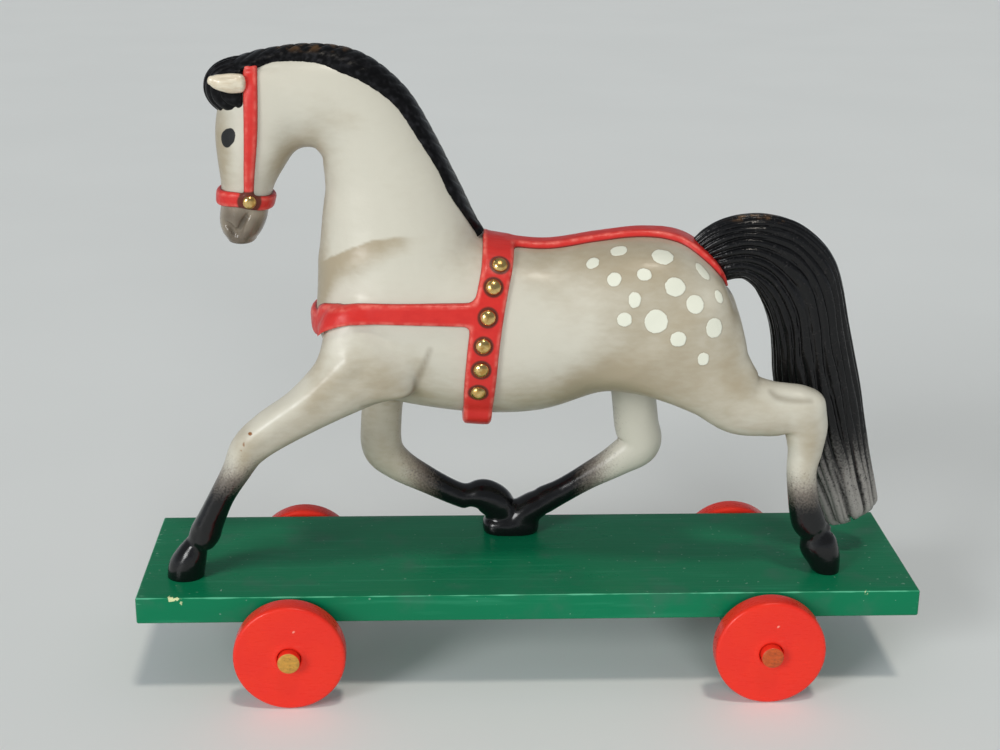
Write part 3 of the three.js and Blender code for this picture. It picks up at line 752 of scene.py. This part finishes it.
def even_rows(table, step):
    """A table's rows, filled in smoothly about every step along its first two columns."""
    rows = smooth_rows(table, 24)
    run = np.concatenate([[0], np.cumsum(np.hypot(*np.diff(rows[:, :2], axis=0).T))])
    even = np.linspace(0, run[-1], max(2, round(run[-1] / step)))
    return even, np.stack([np.interp(even, run, column) for column in rows.T], axis=1)


def groove(place, sharpness=5):
    """0 along a strand's crest and 1 in the groove at each whole number."""
    return np.abs((place % 1) - 0.5) ** sharpness * 2**sharpness


def make_mane():
    """The crest of the neck, carved in short locks that lean back from its top."""
    run, rows = even_rows(MANE, 0.25 * COARSE)
    turn = np.radians(np.linspace(-90, 90, 40))
    rings = []
    for s, (crest_x, crest_z, edge_x, edge_z) in zip(run, rows):
        base = abs(skin_y(edge_x, edge_z, -1) - MID_Y) + 0.25 + 0.9 * fade(edge_x, -33.0, -36.0)
        crest, edge = np.array([crest_x, crest_z]), np.array([edge_x, edge_z])
        lock = groove((s + 1.6 * np.abs(turn)) / 1.9, 4)
        fine = groove((s + 2.2 * np.abs(turn)) / 0.47, 2)
        high = 1 - (0.3 * lock * fade(np.abs(turn), 1.5, 0.2) + 0.02 * fine) / np.hypot(*(crest - edge))
        up = np.cos(turn) ** 0.85 * high
        flat = edge + up[:, None] * (crest - edge)
        y = MID_Y + base * np.sin(turn) * (1 - 0.03 * lock - 0.012 * fine)
        ring = np.stack([flat[:, 0], y, flat[:, 1]], axis=1)
        under = edge - 0.5 * (crest - edge)
        ends = [[under[0], MID_Y + side * 0.8 * base, under[1]] for side in (1, -1)]
        rings.append(np.vstack([ring, ends]))
    points, faces = ringed(rings)
    new_piece("mane_hair", points, faces, [hair_paint()], ["mane"])


def make_forelock():
    """The hair over the poll: a rounded mass that ends at the headstall, with locks combed over its front."""
    centre, radii = (-37.4, MID_Y, 80.5), (5.2, 4.95, 4.0)
    parts = [(ball(centre, radii, -4), 0.1, False)]
    for share in np.linspace(-0.84, 0.84, 8):
        size = math.sqrt(1 - share**2)
        turns = np.radians([80, 110, 140, 170, 200, 230, 255])
        lock = [
            [centre[0] + size * radii[0] * math.cos(t), centre[2] + size * radii[2] * math.sin(t), 0.25, 0.2]
            for t in turns
        ]
        parts.append((sweep(lock, MID_Y + share * radii[1], 0.8), 0.35, True))
    axes = box_axes((-44.0, MID_Y - 6.5, 76.5), (-34.5, MID_Y + 6.5, 86.0), 0.2 * COARSE)
    field = both(on_grid(parts, axes), axes[0][:, None, None] - FORELOCK_BACK, 0.3)
    points, quads = net_of((field, axes))
    new_piece("forelock_hair", points, quads, [hair_paint()], ["forelock"])


def make_ears():
    paint = ear_paint()
    for side, name in ((-1, "near_ear"), (1, "off_ear")):
        y = MID_Y + side * EAR_OUT
        parts = [
            (sweep(EAR, y, 0.9, 2.3), 0.1, False),
            (sweep(EAR_HOLLOW, y + side * 1.0, 0.6), 0.3, True),
        ]
        axes = box_axes((-43.5, y - 2.4, 78.8), (-34.6, y + 2.4, 83.6), 0.15 * COARSE)
        points, quads = net_of((on_grid(parts, axes), axes))
        new_piece(f"{name}_carved", points, quads, [paint], [name])


def make_tail():
    """The tail, carved in long grooves that spread from its root to a scalloped tip."""
    strands, hairs, lobes = 25, 71, 11
    run, rows = even_rows(TAIL, 0.28 * COARSE)
    sides = round(220 / COARSE)
    around = np.arange(sides) / sides
    turn = 2 * math.pi * around
    rings, depths = [], []
    for s, (out_x, out_z, in_x, in_z, half_y) in zip(run, rows):
        tip = fade(s, run[-1] - 16, run[-1])
        wander = 0.0035 * np.sin(0.23 * s + 9 * turn) + 0.002 * np.sin(0.61 * s + 5 * turn)
        strand = groove((around + wander) * strands + 0.5, 2.5)
        fine = groove((around + 2 * wander) * hairs, 2) * (0.5 + 0.5 * np.sin(3 * turn + 0.31 * s))
        lobe = groove(around * lobes + 0.25 + 0.25 * math.sin(0.08 * s), 3)
        depth = 0.5 * strand * (1 - 0.6 * tip) + 0.1 * fine + 0.6 * lobe * tip
        outer, inner = np.array([out_x, out_z]), np.array([in_x, in_z])
        half = math.dist(outer, inner) / 2
        cos, sin = np.cos(turn), np.sin(turn)
        flat = np.sign(cos) * np.abs(cos) ** 0.9
        wide = np.sign(sin) * np.abs(sin) ** 0.9
        middle = (outer + inner) / 2 + (outer - inner) / 2 * (flat * (1 - depth / half))[:, None]
        y = MID_Y + wide * (half_y - depth)
        rings.append(np.stack([middle[:, 0], y, middle[:, 1]], axis=1))
        depths.append(depth)
    rings = np.array(rings)
    last = rings[-1] - rings[-2]
    scallop = 1.1 * (1 - lobe)
    for reach, shrink in ((0.45, 0.98), (0.85, 0.9), (1.05, 0.68), (1.1, 0.3)):
        centre = rings[-1].mean(axis=0)
        tip_ring = centre + (rings[len(run) - 1] - centre) * shrink
        tip_ring = tip_ring + last / np.linalg.norm(last.mean(axis=0)) * (reach * scallop)[:, None]
        rings = np.vstack([rings, tip_ring[None]])
        depths.append(depths[len(run) - 1])
    points, faces = ringed(rings)
    values = {"depth": np.concatenate(depths)}
    new_piece("tail_hair", points, faces, [tail_paint()], ["tail"], values=values)


# ---- deck, wheels and axles

def board(low, high, radius, step):
    """A block with rounded edges, in a grid of faces."""
    bends = radius * np.tan(np.radians([0, 15, 30, 45]))

    def ticks(a, b):
        inner = np.linspace(a + radius, b - radius, max(2, round((b - a) / step)))
        return np.concatenate([a + radius - bends[::-1][:-1], inner, b - radius + bends[1:]])

    marks = [ticks(a, b) for a, b in zip(low, high)]
    shape = bmesh.new()
    for axis in range(3):
        one, two = (axis + 1) % 3, (axis + 2) % 3
        for end in (low[axis], high[axis]):
            grid = np.empty((len(marks[one]), len(marks[two]), 3))
            grid[..., axis] = end
            grid[..., one] = marks[one][:, None]
            grid[..., two] = marks[two][None, :]
            core = np.clip(grid, np.array(low) + radius, np.array(high) - radius)
            out = grid - core
            grid = core + radius * out / np.linalg.norm(out, axis=-1, keepdims=True)
            made = [[shape.verts.new(p) for p in row] for row in grid]
            for i, j in np.ndindex(len(made) - 1, len(made[0]) - 1):
                shape.faces.new((made[i][j], made[i + 1][j], made[i + 1][j + 1], made[i][j + 1]))
    bmesh.ops.remove_doubles(shape, verts=shape.verts, dist=1e-4)
    shape.verts.index_update()
    points = np.array([v.co for v in shape.verts])
    faces = [[v.index for v in face.verts] for face in shape.faces]
    shape.free()
    return points, faces


def make_deck():
    points, faces = board(DECK_LOW, DECK_HIGH, 0.28, 1.5)
    new_piece("deck_board", points, faces, [deck_paint()], ["deck"])


# Half of a wheel's section, from the dowel out to the rim: radius, y.
WHEEL_PROFILE = [
    (1.55, -1.2), (1.62, -1.66), (1.85, -1.7), (2.15, -1.6), (2.5, -1.52), (3.2, -1.55), (6.95, -1.55),
    (7.18, -1.52), (7.36, -1.42), (7.46, -1.25), (7.5, -1),
]


def make_wheels():
    """Flat discs with softened rims and a small lip of paint round the dowel."""
    paint = wheel_paint()
    face = np.array(WHEEL_PROFILE)
    points, faces = ringed(turned(np.vstack([face, face[::-1] * (1, -1), face[:1]]), 96))
    for end in ("front", "rear"):
        for side in ("near", "off"):
            node = f"{side}_{end}_wheel"
            piece = new_piece(f"{node}_disc", points, faces[:-2], [paint], [node], f"{end}_axle_set")
            piece.location = Vector(middle_mm(node) * MM)


def make_axles():
    """Dowels with slightly rounded ends, bare wood except where the wheels' red paint runs over them."""
    for end, tint in DOWEL_ENDS.items():
        node = f"{end}_axle"
        low, high = box_mm(node)
        radius, half = (high[2] - low[2]) / 2, (high[1] - low[1]) / 2
        edge = [(0.05, 0.0), (0.6, 0.0), (0.88, 0.03), (0.97, 0.1), (1.0, 0.22)]
        cap = [(r * radius, y - half) for r, y in edge]
        shaft = [(radius, y) for y in np.linspace(0.4 - half, half - 0.4, 25)]
        profile = cap + shaft + [(r, -y) for r, y in cap[::-1]]
        points, faces = ringed(turned(profile, 40))
        across = np.array([np.mean([points[i][1] for i in f]) for f in faces])
        kind = np.where(np.abs(across) > half - 0.09, 0, np.where(np.abs(across) > half - 4.6, 1, 2))
        paints = [end_grain(f"{node}_end_grain", tint), wheel_paint(), bare_wood()]
        body = f"{end}_axle_set"
        piece = new_piece(f"{node}_dowel", points, faces, paints, [node], body, faces_of=kind)
        piece.location = Vector((low + high) / 2 * MM)


def finish_hidden_parts():
    """The bearers are painted with the deck, and the pegs are bare wood."""
    for name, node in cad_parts.items():
        for word, paint in (("axle_block", deck_paint), ("peg", bare_wood)):
            if word in name:
                node.data.materials.clear()
                node.data.materials.append(paint())


# ---- materials

# Colours in linear red, green and blue; a pair is the two tones of one mottled colour.
IVORY = (0.565, 0.545, 0.46)
# The browner grey, used for brown antique paint and for painted shade.
BROWN_SHADE_GREY = (0.36, 0.305, 0.21)
# Painted shade in creases and carved lines, and the thin outline round the spots.
SHADE_AND_OUTLINE_BROWN = (0.15, 0.115, 0.07)
SPRAY_BROWN = (0.12, 0.09, 0.075)
FLECK_BROWN = (0.06, 0.045, 0.04)
UNDERCOAT = (0.22, 0.085, 0.02)
CREAM = (0.70, 0.71, 0.60)
BLACK = (0.004, 0.004, 0.0045)
SOFT_BLACK = (0.02, 0.02, 0.023)
# Brown along the tops of the hair: wear and a painted highlight.
TOP_BROWN = (0.10, 0.055, 0.025)
MUZZLE_GREYS = ((0.31, 0.265, 0.20), (0.12, 0.095, 0.07))
EAR_CREAMS = ((0.72, 0.66, 0.52), (0.60, 0.51, 0.37))
TAIL_BLACK = (0.012, 0.012, 0.013)
TAIL_GREY = (0.30, 0.287, 0.265)
TAIL_FLECK = (0.02, 0.018, 0.018)
STRAP_REDS = ((0.60, 0.028, 0.022), (0.56, 0.022, 0.018))
PINK_WEAR_AND_HIGHLIGHT = (0.78, 0.19, 0.15)
FOOT_SHADE = (0.09, 0.02, 0.015)
STUD_RING_BROWN = (0.06, 0.022, 0.012)
BRASSES = ((0.86, 0.62, 0.25), (0.62, 0.36, 0.10))
DECK_GREENS = ((0.003, 0.168, 0.073), (0.004, 0.155, 0.068))
GRAIN_GREEN = (0.05, 0.32, 0.18)
DUSTY_GREEN = (0.06, 0.13, 0.10)
DUST = (0.25, 0.42, 0.33)
EDGE_GREEN = (0.12, 0.50, 0.30)
END_GREEN = (0.10, 0.36, 0.22)
CHIP_CREAM = (0.60, 0.66, 0.36)
WHEEL_REDS = ((0.74, 0.03, 0.014), (0.72, 0.027, 0.015))
SCUFF_RED = (0.85, 0.12, 0.08)
NICK_PINK = (0.88, 0.45, 0.35)
BARE_WOODS = ((0.58, 0.40, 0.22), (0.40, 0.25, 0.12))
DOWEL_ENDS = {"front": (0.56, 0.29, 0.045), "rear": (0.52, 0.085, 0.013)}
FLOOR_GREYS = ((0.80, 0.83, 0.83), (0.785, 0.815, 0.815))
SKY = (0.86, 0.93, 1.0)


class Nodes:
    """The node tree of a material or the world, and short ways to build it. base is the colour so far."""

    def __init__(self, owner):
        owner.use_nodes = True
        self.owner, self.tree, self.base = owner, owner.node_tree, None

    def add(self, kind, inputs, output=0, **settings):
        """Adds a node, sets or links its inputs, and gives one of its outputs."""
        node = self.tree.nodes.new("ShaderNode" + kind)
        for key, value in settings.items():
            setattr(node, key, value)
        for key, value in inputs.items():
            if isinstance(value, bpy.types.NodeSocket):
                self.tree.links.new(value, node.inputs[key])
            else:
                node.inputs[key].default_value = value
        return node.outputs[output]

    def place(self, stretch=(1, 1, 1)):
        """A point's place on its own piece in millimetres, stretched."""
        spot = self.add("TexCoord", {}, 3)
        return self.add("VectorMath", {0: spot, 1: [1000 * s for s in stretch]}, operation="MULTIPLY")

    def along(self, axis):
        return self.add("SeparateXYZ", {0: self.place()}, axis)

    def noise(self, size, stretch=(1, 1, 1), detail=3.0, shift=0.0):
        """Noise with features about size millimetres across."""
        inputs = {"Vector": self.place(stretch), "Scale": 1 / size, "Detail": detail, "W": shift}
        return self.add("TexNoise", inputs, noise_dimensions="4D")

    def number(self, name):
        return self.add("Attribute", {}, 2, attribute_name=name)

    def ramp(self, value, low, high, start=0.0, end=1.0):
        """A smooth change from start to end as the value goes from low to high."""
        inputs = {"Value": value, "From Min": low, "From Max": high, "To Min": start, "To Max": end}
        return self.add("MapRange", inputs, interpolation_type="SMOOTHSTEP")

    def spread(self, texture, start=0.0, end=1.0):
        """A noise's usual range, turned into start to end."""
        return self.ramp(texture, 0.3, 0.7, start, end)

    def calc(self, operation, one, two):
        return self.add("Math", {0: one, 1: two}, operation=operation)

    def stirred(self, value, texture, amount):
        """A number made ragged by a noise, by up to an amount each way."""
        return self.calc("ADD", value, self.spread(texture, -amount, amount))

    def mixed(self, amount, *colours):
        """One colour turning into the other."""
        inputs = [(*c, 1) if isinstance(c, tuple) else c for c in colours]
        return self.add("Mix", {0: amount, 6: inputs[0], 7: inputs[1]}, 2, data_type="RGBA")

    def cover(self, coat, amount, *span):
        """Lays another colour over the colour so far, by an amount or as a value goes through a ramp."""
        self.base = self.mixed(self.ramp(amount, *span) if span else amount, self.base, coat)

    def finish(self, roughness=None, *heights):
        """Links colour, roughness and bumps (height, depth in millimetres), and gives the material."""
        found = {"Base Color": self.base, "Roughness": roughness, "Normal": None}
        for height, depth in heights:
            inputs = {"Height": height, "Distance": depth * MM, "Strength": 1.0}
            if found["Normal"] is not None:
                inputs["Normal"] = found["Normal"]
            found["Normal"] = self.add("Bump", inputs)
        for key, value in found.items():
            if value is not None:
                self.tree.links.new(value, self.tree.nodes["Principled BSDF"].inputs[key])
        return self.owner


def new_paint(name, roughness=0.4, metallic=0.0, coat=0.0, coat_roughness=0.1, specular=0.5):
    paint = Nodes(bpy.data.materials.new(name))
    settings = {
        "Roughness": roughness,
        "Metallic": metallic,
        "Coat Weight": coat,
        "Coat Roughness": coat_roughness,
        "Specular IOR Level": specular,
    }
    for key, value in settings.items():
        paint.tree.nodes["Principled BSDF"].inputs[key].default_value = value
    return paint


def horse_paint():
    """Glossy grey with brush lines, browner in places, with painted shade in creases, carved lines, hollows and
    undersides, black feet, pale spots and dark eyes.
    """
    p = new_paint("horse_paint", coat=0.12, coat_roughness=0.2, specular=0.4)
    brush, soft, fine = p.noise(0.8, (0.45, 0.7, 1), 4), p.noise(6.0, detail=2), p.noise(0.28, detail=1)
    black = p.number("black")
    brown_and_shade = p.stirred(p.stirred(p.number("brown_and_shade"), soft, 0.1), brush, 0.06)
    # Browner in places: partly brown antique paint, partly painted shade.
    p.base = p.mixed(p.ramp(brown_and_shade, 0.0, 1.0), IVORY, BROWN_SHADE_GREY)
    # Painted shade in creases.
    p.cover(SHADE_AND_OUTLINE_BROWN, p.number("crease"), 0.2, 0.8, 0.0, 0.85)
    # Painted shade along the carved lines.
    p.cover(SHADE_AND_OUTLINE_BROWN, p.number("lines"), -0.75, 0.25, 0.0, 0.5)
    p.cover(FLECK_BROWN, p.calc("MULTIPLY", p.ramp(fine, 0.66, 0.72, 0.0, 0.8), p.ramp(black, -7.5, -1.5)))
    sprayed = p.stirred(black, fine, 0.45)
    p.cover(SPRAY_BROWN, sprayed, -5.5, -1.0, 0.0, 0.8)
    dark = p.ramp(sprayed, -3.2, 1.6)
    p.cover(BLACK, dark)
    p.cover(UNDERCOAT, p.number("chips"), -0.05, 0.05)
    muzzle = p.ramp(p.number("muzzle"), -0.1, 0.1)
    p.cover(p.mixed(p.ramp(soft, 0.35, 0.65), *MUZZLE_GREYS), muzzle)
    spots = p.stirred(p.number("spots"), p.noise(0.8), 0.06)
    p.cover(SHADE_AND_OUTLINE_BROWN, spots, -0.2, -0.06, 0.0, 0.18)
    p.cover(CREAM, spots, -0.05, 0.03)
    eye = p.ramp(p.number("eye"), -0.05, 0.05)
    p.cover(BLACK, eye)
    gloss = p.ramp(p.calc("MAXIMUM", dark, muzzle), 0.3, 1.0, 0.0, 0.2)
    rough = p.calc("SUBTRACT", p.ramp(brush, 0.3, 0.75, 0.34, 0.46), gloss)
    lumps, raised = p.noise(1.6, detail=2), p.ramp(spots, -0.08, 0.08)
    return p.finish(rough, (brush, 0.035), (soft, 0.25), (lumps, 0.04), (raised, 0.06), (eye, 0.05))


def ear_paint():
    p = new_paint("ear_paint", coat=0.4, coat_roughness=0.16)
    brush = p.noise(0.4, (0.25, 1, 1), 3)
    p.base = p.mixed(p.spread(brush), *EAR_CREAMS)
    return p.finish(p.spread(brush, 0.28, 0.4), (brush, 0.04))


def strap_paint():
    """Red paint, pinker along the top edges from wear and a painted highlight, with painted shade at its foot
    and a darker red-brown ring round each stud.
    """
    p = new_paint("strap_paint", specular=0.35)
    streak = p.noise(0.5, (0.3, 1, 0.5), 3)
    lift, inside, stud = p.number("lift"), p.number("inside"), p.number("stud")
    p.base = p.mixed(p.spread(streak), *STRAP_REDS)
    # Pinker along the top edges: wear, and a painted highlight on the rounded edge.
    edge = p.calc("MULTIPLY", p.ramp(inside, 0.75, 0.2), p.ramp(lift, 0.35, 0.75))
    p.cover(PINK_WEAR_AND_HIGHLIGHT, p.calc("MULTIPLY", edge, p.ramp(p.noise(1.1), 0.35, 0.7, 0.1, 0.8)))
    # Painted shade along the strap's foot, where it meets the skin.
    p.cover(FOOT_SHADE, lift, 0.32, 0.05, 0.0, 0.85)
    # A darker red-brown ring round each stud.
    p.cover(STUD_RING_BROWN, stud, 1.75, 1.5, 0.0, 0.9)
    return p.finish(p.spread(streak, 0.32, 0.46), (streak, 0.05), (p.noise(2.5, detail=1), 0.15))


def brass():
    p = new_paint("brass", metallic=1.0)
    cloud = p.noise(0.7)
    p.base = p.mixed(p.ramp(cloud, 0.35, 0.7), *BRASSES)
    return p.finish(p.spread(cloud, 0.18, 0.34), (cloud, 0.05))


def brown_tops_worn_and_lit(p, low, high):
    """Turns black hair brown along the highest ridges, where hands have rubbed it and as a painted highlight
    from above.
    """
    p.cover(TOP_BROWN, p.calc("MULTIPLY", p.ramp(p.along(2), low, high), p.ramp(p.noise(1.3), 0.45, 0.62)))


@cache
def hair_paint():
    p = new_paint("hair_paint", specular=0.1)
    streak = p.noise(0.5, (0.6, 1, 0.6), 4)
    p.base = p.mixed(p.ramp(streak, 0.45, 0.8), BLACK, SOFT_BLACK)
    brown_tops_worn_and_lit(p, 85.1, 86.1)
    return p.finish(p.spread(streak, 0.28, 0.42), (streak, 0.06))


def tail_paint():
    """Black, fading to a speckled pale grey at the tip, with the grooves left darker."""
    p = new_paint("tail_paint", specular=0.32)
    fine, streak = p.noise(0.3, detail=1), p.noise(0.35, (1, 1, 0.12), 3)
    p.base = p.mixed(p.ramp(streak, 0.55, 0.8), BLACK, TAIL_BLACK)
    brown_tops_worn_and_lit(p, 62.7, 63.5)
    height = p.along(2)
    grizzled = p.stirred(height, p.noise(3.0, (1, 1, 0.4), 2), 1.5)
    grizzled = p.calc("ADD", grizzled, p.ramp(p.number("depth"), 0.1, 0.5, 0.0, 7.0))
    grizzled = p.stirred(grizzled, fine, 1.2)
    p.cover(TAIL_GREY, grizzled, 35.0, 21.5, 0.0, 0.92)
    p.cover(TAIL_FLECK, p.calc("MULTIPLY", p.ramp(fine, 0.63, 0.68), p.ramp(height, 18.0, 27.0, 0.15, 0.8)))
    return p.finish(p.spread(streak, 0.1, 0.22), (streak, 0.05))


# Places where the deck's paint has chipped: x, y, z, size.
DECK_CHIPS = [
    [-48.2, DECK_LOW[1], DECK_TOP, 0.6],
    [-47.2, DECK_LOW[1], DECK_TOP - 0.5, 0.35],
    [45.4, DECK_LOW[1], DECK_TOP, 0.35],
    [-52.9, DECK_LOW[1], DECK_TOP, 0.3],
]


@cache
def deck_paint():
    """Green gloss over wood: faint lengthwise grain, dust specks, and pale wear along the top edges."""
    p = new_paint("deck_paint", specular=0.16)
    grain, cloud = p.noise(0.6, (0.04, 1, 0.6), 4), p.noise(9.0, (0.4, 1, 1), 3)
    p.base = p.mixed(p.spread(cloud), *DECK_GREENS)
    p.cover(GRAIN_GREEN, grain, 0.56, 0.75, 0.0, 0.25)
    p.cover(DUSTY_GREEN, p.noise(5.0, detail=6, shift=7.0), 0.5, 0.75, 0.0, 0.35)
    p.cover(DUST, p.noise(0.5, detail=0, shift=4.0), 0.79, 0.83, 0.0, 0.5)
    from_end, from_side = (
        p.calc("SUBTRACT", DECK_HIGH[axis], p.calc("ABSOLUTE", p.along(axis), 0.0)) for axis in (0, 1)
    )
    from_top = p.calc("SUBTRACT", DECK_TOP, p.along(2))
    rim = p.calc("MAXIMUM", from_top, p.calc("MINIMUM", from_end, from_side))
    wear = p.calc("SUBTRACT", rim, p.ramp(p.noise(2.5, (0.5, 0.5, 1)), 0.3, 0.75, -0.02, 0.14))
    p.cover(EDGE_GREEN, wear, 0.12, 0.02, 0.0, 0.7)
    for *spot, size in DECK_CHIPS:
        away = p.add("VectorMath", {0: p.place(), 1: spot}, 1, operation="DISTANCE")
        away = p.calc("ADD", away, p.ramp(p.noise(0.7), 0.25, 0.75, -0.5, 0.5))
        p.cover(CHIP_CREAM, away, size, size - 0.15)
    end_lines = p.calc("MULTIPLY", p.ramp(from_end, 1.8, 0.2), p.ramp(p.noise(0.5, (0.3, 1, 2)), 0.6, 0.75))
    p.cover(END_GREEN, end_lines)
    return p.finish(p.spread(cloud, 0.26, 0.4), (grain, 0.03), (cloud, 0.05))


@cache
def wheel_paint():
    """Bright gloss red with faint scuffs, and small pale nicks."""
    p = new_paint("wheel_paint", specular=0.3)
    cloud, scuff = p.noise(4.0), p.noise(0.5, (0.25, 1, 1.2), 4)
    p.base = p.mixed(p.spread(cloud), *WHEEL_REDS)
    p.cover(SCUFF_RED, scuff, 0.62, 0.8, 0.0, 0.3)
    p.cover(NICK_PINK, p.noise(0.9, detail=0, shift=2.0), 0.84, 0.88, 0.0, 0.6)
    return p.finish(p.spread(scuff, 0.24, 0.38), (cloud, 0.06), (scuff, 0.015))


@cache
def bare_wood():
    p = new_paint("bare_wood", roughness=0.65)
    grain = p.noise(0.4, (1, 0.06, 1), 4)
    p.base = p.mixed(p.spread(grain), *BARE_WOODS)
    return p.finish(p.spread(grain, 0.55, 0.75), (grain, 0.05))


def end_grain(name, tint):
    """A sawn dowel end: rings, pores and short cracks."""
    p = new_paint(name, roughness=0.5)
    pores, rings = p.noise(0.28, detail=2), p.noise(0.9, (1, 1, 3), 2)
    dark = tuple(0.45 * c for c in tint)
    p.base = p.mixed(p.ramp(rings, 0.35, 0.65, 0.0, 0.5), tint, dark)
    p.cover(dark, pores, 0.58, 0.68, 0.0, 0.8)
    return p.finish(p.spread(pores, 0.4, 0.6), (pores, 0.06), (rings, 0.05))


def floor_paint():
    p = new_paint("floor", roughness=0.6)
    p.base = p.mixed(p.spread(p.noise(60.0, detail=2)), *FLOOR_GREYS)
    return p.finish()


# ---- stage

def make_stage():
    bpy.ops.mesh.primitive_plane_add(size=6, location=(0, 0, CAD_BOX[0][2]))
    floor = bpy.context.object
    floor.name = "floor"
    floor.data.materials.append(floor_paint())


def make_light(name, direction, strength, width, tint=(1, 1, 1), mirrored=True):
    """A distant soft light, seen from the toy in a direction and as a disc some degrees wide.

    A light that isn't mirrored shows in no reflection.
    """
    light = bpy.data.lights.new(name, "SUN")
    light.energy, light.angle, light.color = strength, math.radians(width), tint
    lamp = bpy.data.objects.new(name, light)
    lamp.rotation_euler = (-Vector(direction)).to_track_quat("-Z", "Y").to_euler()
    lamp.visible_glossy = mirrored
    bpy.context.scene.collection.objects.link(lamp)


def make_world():
    """A pale horizon under a dimmer sky."""
    bpy.context.scene.world = bpy.data.worlds.new("world")
    nodes = Nodes(bpy.context.scene.world)
    sky = nodes.tree.nodes["Background"]
    sky.inputs["Color"].default_value = (*SKY, 1)
    height = nodes.add("SeparateXYZ", {0: nodes.add("TexCoord", {})}, 2)
    nodes.tree.links.new(nodes.ramp(height, 0.0, 0.3, 0.62, 0.24), sky.inputs["Strength"])


def make_camera():
    """Slightly above the toy and a little to its head's side, as a person at a table sees it."""
    down, heading, roll = 18.82, -2.546, 0.559
    camera = bpy.data.cameras.new("camera")
    camera.lens, camera.sensor_width = 60.84, 36
    camera.clip_start = 0.01
    holder = bpy.data.objects.new("camera", camera)
    turn = Euler((math.radians(90 - down), 0, math.radians(heading))).to_matrix()
    turn = turn @ Matrix.Rotation(math.radians(roll), 3, "Z")
    holder.matrix_world = Matrix.Translation((-0.01366, -0.21898, 0.11602)) @ turn.to_4x4()
    bpy.context.scene.collection.objects.link(holder)
    bpy.context.scene.camera = holder


make_horse()
make_harness()
make_studs()
make_mane()
make_forelock()
make_ears()
make_tail()
make_deck()
make_wheels()
make_axles()
finish_hidden_parts()

make_stage()
make_world()
make_light("window", (-0.66, -0.66, 0.36), 1.5, 22)
make_light("front", (0.10, -0.95, 0.30), 1.0, 20, mirrored=False)
make_light("lamp", (0.10, -0.25, 0.96), 0.82, 8, (1.0, 0.93, 0.82))
make_camera()
bpy.context.scene.view_settings.view_transform = "Standard"
